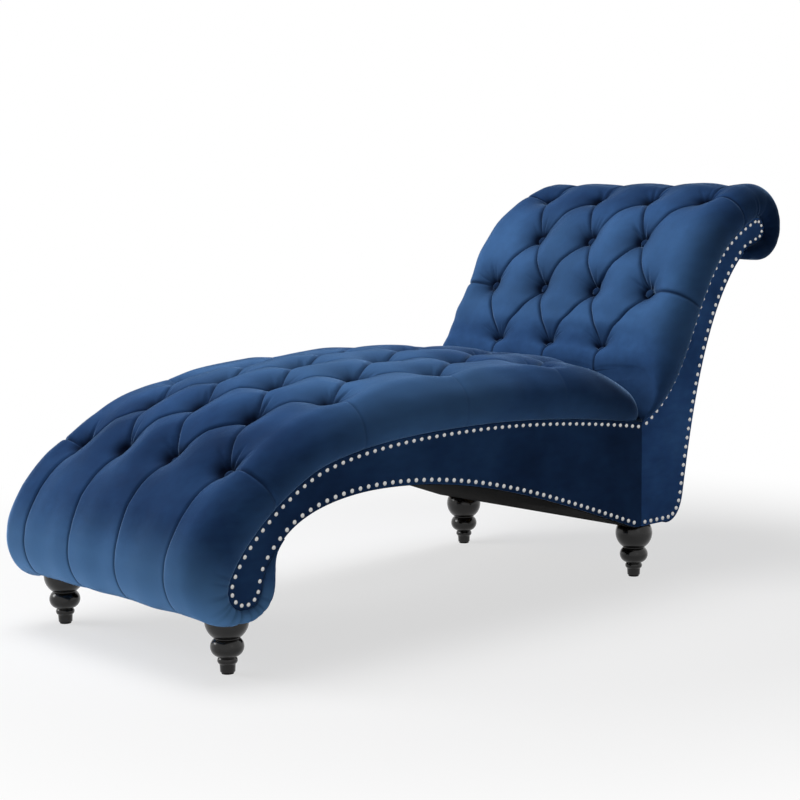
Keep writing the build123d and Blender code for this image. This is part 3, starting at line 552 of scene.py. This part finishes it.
def tuftDepth(s, u, hemShare, look, loopSpan, tuckSpan):
    # how far the velvet lies below its smooth form, and how much painted shade it gets, over the flat pattern
    column, pillow, crease = creasePattern(s, u, look)
    bulge = np.interp(s, *np.array(look["bulge"]).T)
    hemFade = 1 - tuft["hemFlatten"] * smoothStep(*tuft["hemFlattenSpan"], hemShare)
    creaseFade = 1 - tuft["grooveFade"] * smoothStep(*tuft["grooveFadeSpan"], hemShare)
    pleatShare = np.where(column > tuft["outerColumn"], np.interp(s, *np.array(look["sidePleat"]).T), 1.0)
    grooveShare = np.exp(-(crease / tuft["grooveWidth"]) ** 2) * creaseFade
    grooveShare *= np.clip(bulge / tuft["fullGrooveBulge"], tuft["leastGroove"], 1) * pleatShare
    creaseLine = np.exp(-(crease / tuft["lineWidth"]) ** 2) * creaseFade * pleatShare
    sideEase = 1 - look["sideSmooth"] * smoothStep(*tuft["sideSmoothSpan"], column)
    depth = bulge * hemFade * sideEase * (1 - pillow) + tuft["groove"] * grooveShare
    # painted shade along the crease lines
    paintedShade = tuft["creaseShade"] * creaseLine

    rng = np.random.default_rng(look["seed"])
    depth, paintedShade = pressButtons(s, u, look, rng, depth, paintedShade)
    depth, paintedShade = gatherHem(s, hemShare, loopSpan, rng, depth, paintedShade)
    waveFade = 1 - smoothStep(*tuft["waveFadeSpan"], hemShare)
    depth += tuft["unevenness"] * unevenWaves(s, u, rng) / math.sqrt(tuft["waveCount"]) * waveFade

    creaseShare = np.clip(1 - s / look["creaseReach"], 0, 1) ** 2
    depth += look["creaseDrop"] * creaseShare * (1 - tuft["creaseDropFade"] * hemShare)
    tuck = smoothStep(*tuckSpan, s) * (1 - smoothStep(*tuft["tuckSideSpan"], np.abs(u)))
    depth += look["tuckDepth"] * tuck
    depth -= crownRise(s, u, look) * (1 - smoothStep(*tuft["crownFadeSpan"], hemShare))
    depth += tuft["endRound"] * np.clip(1 - s / tuft["endReach"], 0, 1) ** 2
    return depth, paintedShade


def halfSection(thickness, swell, leastSwell):
    # from the middle to the hem: places, outward directions, travel and share of the way to the hem
    flat = np.arange(0, tuft["flatTo"], tuft["step"])
    shares = np.linspace(0, 1, tuft["sideSteps"] + 1)
    t = thickness[:, None]
    lean = np.minimum(np.maximum(swell * t, leastSwell), tuft["swellLimit"] * t)
    shoulder = (1 - tuft["waist"]) * t
    turnStart = outline["halfWidth"] + lean - shoulder
    drop = tuft["waist"] * t - tuft["hem"]
    firstRun = turnStart - tuft["flatTo"]
    secondRun = shoulder * math.pi / 2
    thirdRun = math.pi / 2 * np.sqrt((lean ** 2 + drop ** 2) / 2)
    travel = shares[None, :] * (firstRun + secondRun + thirdRun)
    roundTurn = np.clip((travel - firstRun) / shoulder, 0, math.pi / 2)
    underTurn = np.clip((travel - firstRun - secondRun) / thirdRun, 0, 1) * math.pi / 2
    onFlat = travel < firstRun
    under = underTurn > 0
    x = np.where(onFlat, tuft["flatTo"] + travel, turnStart + shoulder * np.sin(roundTurn))
    h = np.where(onFlat, t, tuft["waist"] * t + shoulder * np.cos(roundTurn))
    nx = np.where(onFlat, 0.0, np.sin(roundTurn))
    nh = np.where(onFlat, 1.0, np.cos(roundTurn))
    steep = np.hypot(drop * np.cos(underTurn), lean * np.sin(underTurn))
    x = np.where(under, outline["halfWidth"] + lean * np.cos(underTurn), x)
    h = np.where(under, tuft["waist"] * t - drop * np.sin(underTurn), h)
    nx = np.where(under, drop * np.cos(underTurn) / steep, nx)
    nh = np.where(under, -lean * np.sin(underTurn) / steep, nh)
    ones = np.ones_like(t)
    flatX = flat[None, :] * ones
    parts = (
        (flatX, x), (t * np.ones_like(flatX), h), (np.zeros_like(flatX), nx), (np.ones_like(flatX), nh),
        (flatX, tuft["flatTo"] + travel), (np.zeros_like(flatX), shares[None, :] * ones),
    )
    return [np.concatenate(pair, axis=1) for pair in parts]


def bothHalves(values, mirrorSign):
    return np.concatenate((values[:, ::-1], mirrorSign * values[:, 1:]), axis=1)


def raisedGrid(x, place, outward, height):
    # points across the width, each raised outwards off its place on a side curve
    return np.stack((
        np.broadcast_to(x, height.shape),
        place[:, 0, None] + outward[:, 0, None] * height,
        place[:, 1, None] + outward[:, 1, None] * height,
    ), axis=-1)


def gridQuads(points):
    index = np.arange(points.shape[0] * points.shape[1]).reshape(points.shape[:2])
    quads = np.stack((index[:-1, :-1], index[1:, :-1], index[1:, 1:], index[:-1, 1:]), axis=-1)
    return index, quads.reshape(-1, 4).tolist()


def closedSkin(name, points):
    # a grid from hem to hem, closed underneath and at both ends
    index, quads = gridQuads(points)
    under = np.stack((index[:-1, -1], index[1:, -1], index[1:, 0], index[:-1, 0]), axis=-1)
    faces = quads + under.tolist() + [index[0].tolist(), index[-1, ::-1].tolist()]
    piece = linkMesh(name, points.reshape(-1, 3), faces)
    faceOutwards(piece)
    return piece


feet = {"x": 0.26, "front": -0.7245, "rear": 0.381, "socket": 0.0412, "socketRim": 0.047, "cover": 0.1185}


def clearFrontFeet(points):
    # the underside of the toe is lifted over the tops of the front feet
    for side in (-1, 1):
        gap = np.hypot(points[..., 0] - side * feet["x"], points[..., 1] - feet["front"])
        lift = (1 - smoothStep(feet["socket"], feet["socketRim"], gap)) * (points[..., 2] < feet["cover"])
        points[..., 2] += (feet["cover"] - points[..., 2]) * lift


def storeShares(piece, name, shares):
    # a share for each point of the cover, and none along the two edges of the underside
    values = np.pad(shares, ((0, 0), (1, 1)))
    attribute = piece.data.attributes.new(name, "FLOAT", "POINT")
    attribute.data.foreach_set("value", values.reshape(-1).astype(np.float32))


def makeCushion(name, deck, firstLength, radius, look, outward):
    distance = np.linspace(tuft["start"], deck["length"], round(deck["length"] / tuft["step"]))
    thickness = smoothTable(paddingTable(look, firstLength, radius, deck["length"]), distance)
    place, heading = along(deck, distance)
    x, h, nx, nh, u, hemShare = halfSection(thickness, look["swell"], look["leastSwell"])
    x, u, nx = [bothHalves(v, -1) for v in (x, u, nx)]
    h, nh, hemShare = [bothHalves(v, 1) for v in (h, nh, hemShare)]
    s = distance[:, None] * np.ones_like(u)
    loopSpan = (firstLength - tuft["gatherLead"], firstLength + radius * math.pi)
    firstAngle = look["loopPadding"][0][0]
    tuckSpan = [firstLength + radius * math.radians(abs(look[key] - firstAngle)) for key in ("tuckFrom", "tuckTo")]
    depth, paintedShade = tuftDepth(s, u, hemShare, look, loopSpan, tuckSpan)
    depth = np.minimum(depth, tuft["depthLimit"] * thickness[:, None])
    depth = depth * (1 - smoothStep(*tuft["hemHoldSpan"], hemShare))
    fall = cornerFall(s, u, look)
    x = x - (depth + tuft["cornerDraw"] * fall) * nx
    h = np.maximum((h - depth * nh) * (1 - fall), tuft["hem"])
    edge = np.full((len(distance), 1), tuft["undersideEdge"])
    x = np.concatenate((edge, x, -edge), axis=1)
    under = np.full((len(distance), 1), tuft["underside"])
    h = np.concatenate((under, h, under), axis=1)
    points = raisedGrid(x, place, outward(heading, distance), h)
    clearFrontFeet(points)
    piece = closedSkin(name, points)
    # painted shade of the creases and pits together with bands of painted shade; painted light in bands and near the
    # hems
    paintedShadeBand = smoothTable(np.array(look["paintedShadeTable"]), distance)
    storeShares(piece, "paintedShade", np.maximum(paintedShade, paintedShadeBand[:, None]))
    paintedLightBand = smoothTable(np.array(look["paintedLightTable"]), distance)
    hemPaintedLight = look["hemPaintedLight"] * smoothStep(*tuft["hemPaintedLightSpan"], hemShare)
    storeShares(piece, "napAndPaintedLight", np.maximum(paintedLightBand[:, None], hemPaintedLight))
    print(name, "points", points.shape[0] * points.shape[1])
    return piece


def rightOf(heading, distance):
    # square to the curve, whatever the distance
    return np.stack((heading[:, 1], -heading[:, 0]), axis=-1)


def backOutward(heading, distance):
    # near the crease the back's padding fans out from the seat's
    square = np.degrees(np.arctan2(heading[:, 0], -heading[:, 1]))
    share = np.minimum(1.0, np.sqrt(distance / backLook["fanLength"]))
    turn = np.radians(backLook["creaseAngle"] + (square - backLook["creaseAngle"]) * share)
    return np.stack((np.cos(turn), np.sin(turn)), axis=-1)


seatCushion = makeCushion("seatCushion", seatDeck, seatTop["length"], outline["toeRadius"], seatLook, rightOf)
dress(seatCushion, cushionVelvet, "velvet", "seat_cover", "seat_foam")
backCushion = makeCushion("backCushion", backDeck, backFront["length"], outline["headRadius"], backLook, backOutward)
dress(backCushion, cushionVelvet, "velvet", "back_cover", "back_foam")

# covered buttons, one modelled and copied to the bottom of each tuft

buttonLook = {
    "radius": 0.0098, "dome": 0.0050, "sunk": 0.0375, "outerFrom": 0.2, "outerLift": 0.0020,
    "segments": 24, "rings": 14,
}


def joinCopies(name, model, places):
    copies = []
    for matrix in places:
        copy = model.copy()
        copy.data = model.data.copy()
        copy.data.transform(matrix)
        bpy.context.scene.collection.objects.link(copy)
        copies.append(copy)
    bpy.ops.object.select_all(action="DESELECT")
    for copy in copies:
        copy.select_set(True)
    bpy.context.view_layer.objects.active = copies[0]
    bpy.ops.object.join()
    piece = bpy.context.view_layer.objects.active
    piece.name = name
    piece.data.name = name
    return piece


def roundedCap(name, look, smoothAngle=50):
    # the upper half of a ball, flattened to a cap with a closed underside
    radius = look["radius"]
    bpy.ops.object.select_all(action="DESELECT")
    bpy.ops.mesh.primitive_uv_sphere_add(segments=look["segments"], ring_count=look["rings"], radius=radius)
    model = bpy.context.object
    model.name = name
    bpy.ops.object.mode_set(mode="EDIT")
    bpy.ops.mesh.select_all(action="SELECT")
    bpy.ops.mesh.bisect(plane_co=(0, 0, 0), plane_no=(0, 0, 1), clear_inner=True, use_fill=True)
    bpy.ops.mesh.select_all(action="SELECT")
    bpy.ops.transform.resize(value=(1, 1, look["dome"] / radius))
    bpy.ops.mesh.normals_make_consistent(inside=False)
    bpy.ops.object.mode_set(mode="OBJECT")
    bpy.ops.object.shade_smooth_by_angle(angle=math.radians(smoothAngle))
    return model


def buttonMatrices(deck, firstLength, radius, look, outward):
    table = paddingTable(look, firstLength, radius, deck["length"])
    matrices = []
    for buttonS, buttonU in buttonPlaces(look):
        distance = np.array([buttonS])
        place, heading = along(deck, distance)
        direction = outward(heading, distance)[0]
        height = smoothTable(table, distance)[0] - buttonLook["sunk"] + crownRise(buttonS, buttonU, look)
        if abs(buttonU) > buttonLook["outerFrom"]:
            height += buttonLook["outerLift"]
        height *= 1 - cornerFall(buttonS, buttonU, look)
        up = Vector((0, direction[0], direction[1]))
        sideways = Vector((1, 0, 0))
        origin = Vector((buttonU, place[0][0] + direction[0] * height, place[0][1] + direction[1] * height))
        matrix = Matrix((sideways, up.cross(sideways), up)).transposed().to_4x4()
        matrices.append(Matrix.Translation(origin) @ matrix)
    return matrices


buttonModel = roundedCap("buttonModel", buttonLook)
seatButtons = joinCopies("seatButtons", buttonModel, buttonMatrices(
    seatDeck, seatTop["length"], outline["toeRadius"], seatLook, rightOf))
dress(seatButtons, buttonShadedVelvet, "button_velvet", "seat_buttons")
backButtons = joinCopies("backButtons", buttonModel, buttonMatrices(
    backDeck, backFront["length"], outline["headRadius"], backLook, backOutward))
dress(backButtons, buttonShadedVelvet, "button_velvet", "back_buttons")
bpy.data.objects.remove(buttonModel)
print("buttons ready")

# flat side facings with rolled edges

facingLook = {
    "rings": ((0.0, 0.2962), (0.0, 0.2986), (0.0004, 0.2996), (0.0011, 0.3003), (0.0022, 0.3007)),
    "face": 0.3007, "step": 0.006, "seamReach": 0.0005, "mitreLimit": 0.5, "smoothAngle": 50, "fill": 0.95,
}


def evenPoints(curve, step):
    count = round(curve["length"] / step)
    distance = np.linspace(0, curve["length"], count, endpoint=False)
    return along(curve, distance)[0]


def insetRing(points, inset):
    # the outline moved inwards, mitred at its corners
    before = points - np.roll(points, 1, axis=0)
    after = np.roll(points, -1, axis=0) - points
    before /= np.linalg.norm(before, axis=1)[:, None]
    after /= np.linalg.norm(after, axis=1)[:, None]
    inward = np.stack((-(before + after)[:, 1], (before + after)[:, 0]), axis=-1)
    inward /= np.linalg.norm(inward, axis=1)[:, None]
    square = np.stack((-after[:, 1], after[:, 0]), axis=-1)
    mitre = np.clip(np.sum(inward * square, axis=1), facingLook["mitreLimit"], 1)
    return points + inward * (inset / mitre)[:, None]


def makeFacing(name, points, side):
    area = np.sum(points[:, 0] * np.roll(points[:, 1], -1) - points[:, 1] * np.roll(points[:, 0], -1))
    if area < 0:
        points = points[::-1]
    count = len(points)
    onSeam = np.abs(points[:, 0] - outline["corner"][0]) < facingLook["seamReach"]
    rings = []
    for inset, level in facingLook["rings"]:
        ring = insetRing(points, inset)
        square = level if not rings else facingLook["face"]
        levels = np.where(onSeam, square, level)
        rings.append(np.column_stack((side * levels, ring)))
    faces = [list(range(count))]
    for k in range(len(rings) - 1):
        for i in range(count):
            j = (i + 1) % count
            faces.append([k * count + i, k * count + j, (k + 1) * count + j, (k + 1) * count + i])
    faces.append([(len(rings) - 1) * count + i for i in range(count)])
    piece = linkMesh(name, np.concatenate(rings), faces)
    faceOutwards(piece)
    bpy.ops.object.shade_smooth_by_angle(angle=math.radians(facingLook["smoothAngle"]))
    for flat in (0, len(faces) - 1):
        piece.data.polygons[flat].use_smooth = False
    return piece


seatSide = joinRuns(*seatTopRuns, *toeRuns, *archRuns, lineRun(outline["archFoot"], outline["seamFoot"], 8),
                    lineRun(outline["seamFoot"], outline["corner"]))
backSide = joinRuns(*backFrontRuns, *headRuns, *rearRuns, lineRun(outline["base"], outline["seamFoot"]),
                    lineRun(outline["seamFoot"], outline["corner"]))
for label, side in (("Left", -1), ("Right", 1)):
    seatFacing = makeFacing("seatFacing" + label, evenPoints(seatSide, facingLook["step"]), side)
    dress(seatFacing, seatSideShadedVelvet, "velvet", "seat_facing_" + label.lower())
    backFacing = makeFacing("backFacing" + label, evenPoints(backSide, facingLook["step"]), side)
    dress(backFacing, backSideLitVelvet, "velvet", "back_facing_" + label.lower())
print("facings ready")

# outside back: velvet stretched over the rear curve

rearLook = {
    "near": 0.0003, "far": 0.0033, "puff": 0.0016, "puffPower": 4, "endPower": 0.4, "start": 0.001, "step": 0.008,
    "edge": ((0.300, 0), (0.300, 0.5), (0.2992, 0.9)), "inner": 0.297, "across": 76, "fill": 0.95,
}
rearDistance = np.linspace(rearLook["start"], rearEdge["length"], round(rearEdge["length"] / rearLook["step"]))
rearPlace, rearHeading = along(rearEdge, rearDistance)
rearOut = np.stack((-rearHeading[:, 1], rearHeading[:, 0]), axis=-1)
edgeX, edgeRise = np.array(rearLook["edge"]).T
innerX = np.linspace(rearLook["inner"], -rearLook["inner"], rearLook["across"])
rearX = np.concatenate((edgeX, innerX, -edgeX[::-1]))
rearRise = np.concatenate((edgeRise, np.ones(rearLook["across"]), edgeRise[::-1]))
rearPuff = rearLook["puff"] * (1 - (np.abs(rearX) / outline["halfWidth"]) ** rearLook["puffPower"])
rearEnds = np.sin(np.pi * np.clip(rearDistance / rearEdge["length"], 0, 1)) ** rearLook["endPower"]
rearHeight = (rearLook["near"] + (rearLook["far"] - rearLook["near"]) * rearRise[None, :]
              + rearEnds[:, None] * rearPuff[None, :])
rearPoints = raisedGrid(rearX, rearPlace, rearOut, rearHeight)
outsideBack = closedSkin("outsideBack", rearPoints)
dress(outsideBack, backSideLitVelvet, "velvet", "outside_back")

# dust cover: black cambric stretched under the arch

dustLook = {
    "halfWidth": 0.2961, "across": 60, "drop": 0.0009, "sag": 0.0022, "endPower": 0.5, "endGap": 0.0005,
    "step": 0.010, "thickness": 0.0008,
}
dustDistance = np.linspace(dustLook["endGap"], archEdge["length"] - dustLook["endGap"],
                           round(archEdge["length"] / dustLook["step"]))
dustPlace, dustHeading = along(archEdge, dustDistance)
dustOut = rightOf(dustHeading, dustDistance)
dustX = np.linspace(-dustLook["halfWidth"], dustLook["halfWidth"], dustLook["across"])
dustSag = dustLook["sag"] * (1 - (dustX / dustLook["halfWidth"]) ** 2)
dustEnds = np.sin(np.pi * np.linspace(0, 1, len(dustDistance))) ** dustLook["endPower"]
dustHeight = dustLook["drop"] + dustEnds[:, None] * dustSag[None, :]
dustPoints = raisedGrid(dustX, dustPlace, dustOut, dustHeight)
dustCover = linkMesh("dustCover", dustPoints.reshape(-1, 3), gridQuads(dustPoints)[1])
makeActive(dustCover)
solid = dustCover.modifiers.new("thickness", "SOLIDIFY")
solid.thickness = dustLook["thickness"]
solid.offset = 0
bpy.ops.object.modifier_apply(modifier="thickness")
dress(dustCover, cambric, "cambric", "dust_cover")
print("back and dust cover ready")

# nailheads along both rims, one modelled and copied

nailLook = {
    "pitch": 0.020, "inset": 0.009, "end": 0.011, "base": 0.2998, "radius": 0.0048, "dome": 0.0033,
    "segments": 16, "rings": 10,
}


def nailPlaces(rim, side):
    reach = rim["length"] - 2 * nailLook["end"]
    count = round(reach / nailLook["pitch"])
    distance = np.linspace(nailLook["end"], rim["length"] - nailLook["end"], count + 1)
    place, heading = along(rim, distance)
    return place + side * nailLook["inset"] * np.stack((-heading[:, 1], heading[:, 0]), axis=-1)


nailSpots = np.concatenate((nailPlaces(seatRim, 1), nailPlaces(backRim, -1)))
nailModel = roundedCap("nailModel", nailLook)
for label, side in (("Left", -1), ("Right", 1)):
    turn = Matrix.Rotation(side * math.pi / 2, 4, "Y")
    matrices = [Matrix.Translation((side * nailLook["base"], y, z)) @ turn for y, z in nailSpots]
    nails = joinCopies("nailheads" + label, nailModel, matrices)
    dress(nails, nickel, "nickel", "nailheads_" + label.lower())
bpy.data.objects.remove(nailModel)
print("nails ready:", 2 * len(nailSpots))

# turned feet, spun from one profile

footLook = {
    "glideTop": 0.003, "top": 0.117, "bossRadius": 0.012, "bossTop": 0.126,
    "steps": 64, "mergeReach": 0.00001, "smoothAngle": 40,
}


def arcThrough(a, b, c, count):
    # points on the circle through three places
    ax, ay, bx, by, cx, cy = *a, *b, *c
    d = 2 * (ax * (by - cy) + bx * (cy - ay) + cx * (ay - by))
    ux = ((ax ** 2 + ay ** 2) * (by - cy) + (bx ** 2 + by ** 2) * (cy - ay) + (cx ** 2 + cy ** 2) * (ay - by)) / d
    uy = ((ax ** 2 + ay ** 2) * (cx - bx) + (bx ** 2 + by ** 2) * (ax - cx) + (cx ** 2 + cy ** 2) * (bx - ax)) / d
    radius = math.hypot(ax - ux, ay - uy)
    first = math.atan2(ay - uy, ax - ux)
    last = math.atan2(cy - uy, cx - ux)
    return [(ux + radius * math.cos(t), uy + radius * math.sin(t)) for t in np.linspace(first, last, count)]


# each place as (radius, height)
footProfile = [(0, footLook["glideTop"]), (0.0124, footLook["glideTop"])]
footProfile += [(0.0132, 0.0036), (0.0135, 0.0052), (0.0142, 0.0172)]
footProfile += arcThrough((0.0150, 0.0180), (0.0181, 0.0238), (0.0160, 0.0292), 11)
footProfile += [(0.0156, 0.0302)]
footProfile += arcThrough((0.0178, 0.0312), (0.0300, 0.0470), (0.0240, 0.0625), 19)
footProfile += [(0.0226, 0.0638), (0.0228, 0.0652)]
footProfile += arcThrough((0.0252, 0.0662), (0.0395, 0.0950), (0.0328, footLook["top"]), 25)
footProfile += [(footLook["bossRadius"], footLook["top"]), (footLook["bossRadius"], footLook["bossTop"])]
footProfile += [(0, footLook["bossTop"])]


def turnFoot(name, x, y):
    mesh = bpy.data.meshes.new(name)
    mesh.from_pydata([(x + r, y, z) for r, z in footProfile],
                     [(i, i + 1) for i in range(len(footProfile) - 1)], [])
    foot = bpy.data.objects.new(name, mesh)
    bpy.context.scene.collection.objects.link(foot)
    makeActive(foot)
    bpy.ops.object.mode_set(mode="EDIT")
    bpy.ops.mesh.select_all(action="SELECT")
    bpy.ops.mesh.spin(steps=footLook["steps"], angle=2 * math.pi, center=(x, y, 0), axis=(0, 0, 1))
    bpy.ops.mesh.select_all(action="SELECT")
    bpy.ops.mesh.remove_doubles(threshold=footLook["mergeReach"])
    bpy.ops.mesh.normals_make_consistent(inside=False)
    bpy.ops.object.mode_set(mode="OBJECT")
    bpy.ops.object.shade_smooth_by_angle(angle=math.radians(footLook["smoothAngle"]))
    return foot


for label, node, x, y in (
    ("footFrontLeft", "foot_front_left", -feet["x"], feet["front"]),
    ("footFrontRight", "foot_front_right", feet["x"], feet["front"]),
    ("footRearLeft", "foot_rear_left", -feet["x"], feet["rear"]),
    ("footRearRight", "foot_rear_right", feet["x"], feet["rear"]),
):
    dress(turnFoot(label, x, y), blackLacquer, "black_lacquer", node)
print("feet ready")

# floor, light and camera

stageLook = {
    "floorSize": 40.0, "skyStrength": 0.05, "white": {"Color": (1, 1, 1, 1), "Strength": 1.0},
    "floor": {"Base Color": (0.86, 0.86, 0.865, 1), "Roughness": 0.9, "Specular IOR Level": 0.1},
    "fade": {"From Min": 0.85, "From Max": 1.75, "To Min": 0.66},
}


def seenRays(nodes, links):
    # 1 for what the camera sees, straight or in metal and glass
    path = nodes.new("ShaderNodeLightPath")
    seen = path.outputs["Is Camera Ray"]
    for ray in ("Is Glossy Ray", "Is Transmission Ray"):
        either = nodes.new("ShaderNodeMath")
        either.operation = "MAXIMUM"
        links.new(seen, either.inputs[0])
        links.new(path.outputs[ray], either.inputs[1])
        seen = either.outputs["Value"]
    return seen


def makeFloor():
    bpy.ops.object.select_all(action="DESELECT")
    bpy.ops.mesh.primitive_plane_add(size=stageLook["floorSize"])
    floor = bpy.context.object
    floor.name = "floor"
    material, nodes, links, shader = newMaterial("paleFloor")
    setInputs(shader, stageLook["floor"])
    white = nodes.new("ShaderNodeEmission")
    setInputs(white, stageLook["white"])
    coords = nodes.new("ShaderNodeTexCoord")
    reach = nodes.new("ShaderNodeVectorMath")
    reach.operation = "LENGTH"
    links.new(coords.outputs["Object"], reach.inputs[0])
    fade = nodes.new("ShaderNodeMapRange")
    fade.interpolation_type = "SMOOTHSTEP"
    setInputs(fade, stageLook["fade"])
    links.new(reach.outputs["Value"], fade.inputs["Value"])
    share = nodes.new("ShaderNodeMath")
    share.operation = "MULTIPLY"
    links.new(fade.outputs["Result"], share.inputs[0])
    links.new(seenRays(nodes, links), share.inputs[1])
    mix = nodes.new("ShaderNodeMixShader")
    links.new(share.outputs["Value"], mix.inputs[0])
    links.new(shader.outputs["BSDF"], mix.inputs[1])
    links.new(white.outputs["Emission"], mix.inputs[2])
    links.new(mix.outputs["Shader"], nodes["Material Output"].inputs["Surface"])
    floor.data.materials.append(material)


def makeSky():
    world = bpy.data.worlds.new("studio")
    bpy.context.scene.world = world
    world.use_nodes = True
    nodes, links = world.node_tree.nodes, world.node_tree.links
    sky = nodes["Background"]
    setInputs(sky, {**stageLook["white"], "Strength": stageLook["skyStrength"]})
    white = nodes.new("ShaderNodeBackground")
    setInputs(white, stageLook["white"])
    mix = nodes.new("ShaderNodeMixShader")
    links.new(seenRays(nodes, links), mix.inputs[0])
    links.new(sky.outputs["Background"], mix.inputs[1])
    links.new(white.outputs["Background"], mix.inputs[2])
    links.new(mix.outputs["Shader"], nodes["World Output"].inputs["Surface"])


lamps = {
    "keyLamp": {"place": (-2.7, -2.6, 2.0), "aim": (0, -0.1, 0.35), "size": (1.4, 1.4), "power": 50},
    "topLamp": {"place": (-0.6, -0.8, 3.0), "aim": (0, -0.1, 0.3), "size": (2.2, 2.0), "power": 81},
    "sideLamp": {"place": (3.6, -0.9, 1.6), "aim": (0, 0.1, 0.35), "size": (1.2, 1.6), "power": 2.1},
}


def makeLamp(name, look):
    light = bpy.data.lights.new(name, "AREA")
    light.shape = "RECTANGLE"
    light.size, light.size_y = look["size"]
    light.energy = look["power"]
    lamp = bpy.data.objects.new(name, light)
    bpy.context.scene.collection.objects.link(lamp)
    lamp.location = look["place"]
    gaze = Vector(look["aim"]) - Vector(look["place"])
    lamp.rotation_euler = gaze.to_track_quat("-Z", "Y").to_euler()


cameraLook = {
    "place": (2.7476, -2.6165, 0.8577), "azimuth": 47.10, "pitch": 6.92, "roll": -0.595, "lens": 81.74, "sensor": 36,
}


def makeCamera():
    azimuth, pitch, roll = [math.radians(cameraLook[key]) for key in ("azimuth", "pitch", "roll")]
    gaze = Vector((-math.sin(azimuth) * math.cos(pitch), math.cos(azimuth) * math.cos(pitch), -math.sin(pitch)))
    level = Vector((math.cos(azimuth), math.sin(azimuth), 0))
    up = level.cross(gaze)
    right = level * math.cos(roll) + up * math.sin(roll)
    top = up * math.cos(roll) - level * math.sin(roll)
    data = bpy.data.cameras.new("photoCamera")
    data.sensor_fit = "HORIZONTAL"
    data.sensor_width = cameraLook["sensor"]
    data.lens = cameraLook["lens"]
    camera = bpy.data.objects.new("photoCamera", data)
    bpy.context.scene.collection.objects.link(camera)
    camera.matrix_world = Matrix.Translation(cameraLook["place"]) @ Matrix((right, top, -gaze)).transposed().to_4x4()
    bpy.context.scene.camera = camera


makeFloor()
makeSky()
for lampName, lampLook in lamps.items():
    makeLamp(lampName, lampLook)
makeCamera()
print("stage ready")
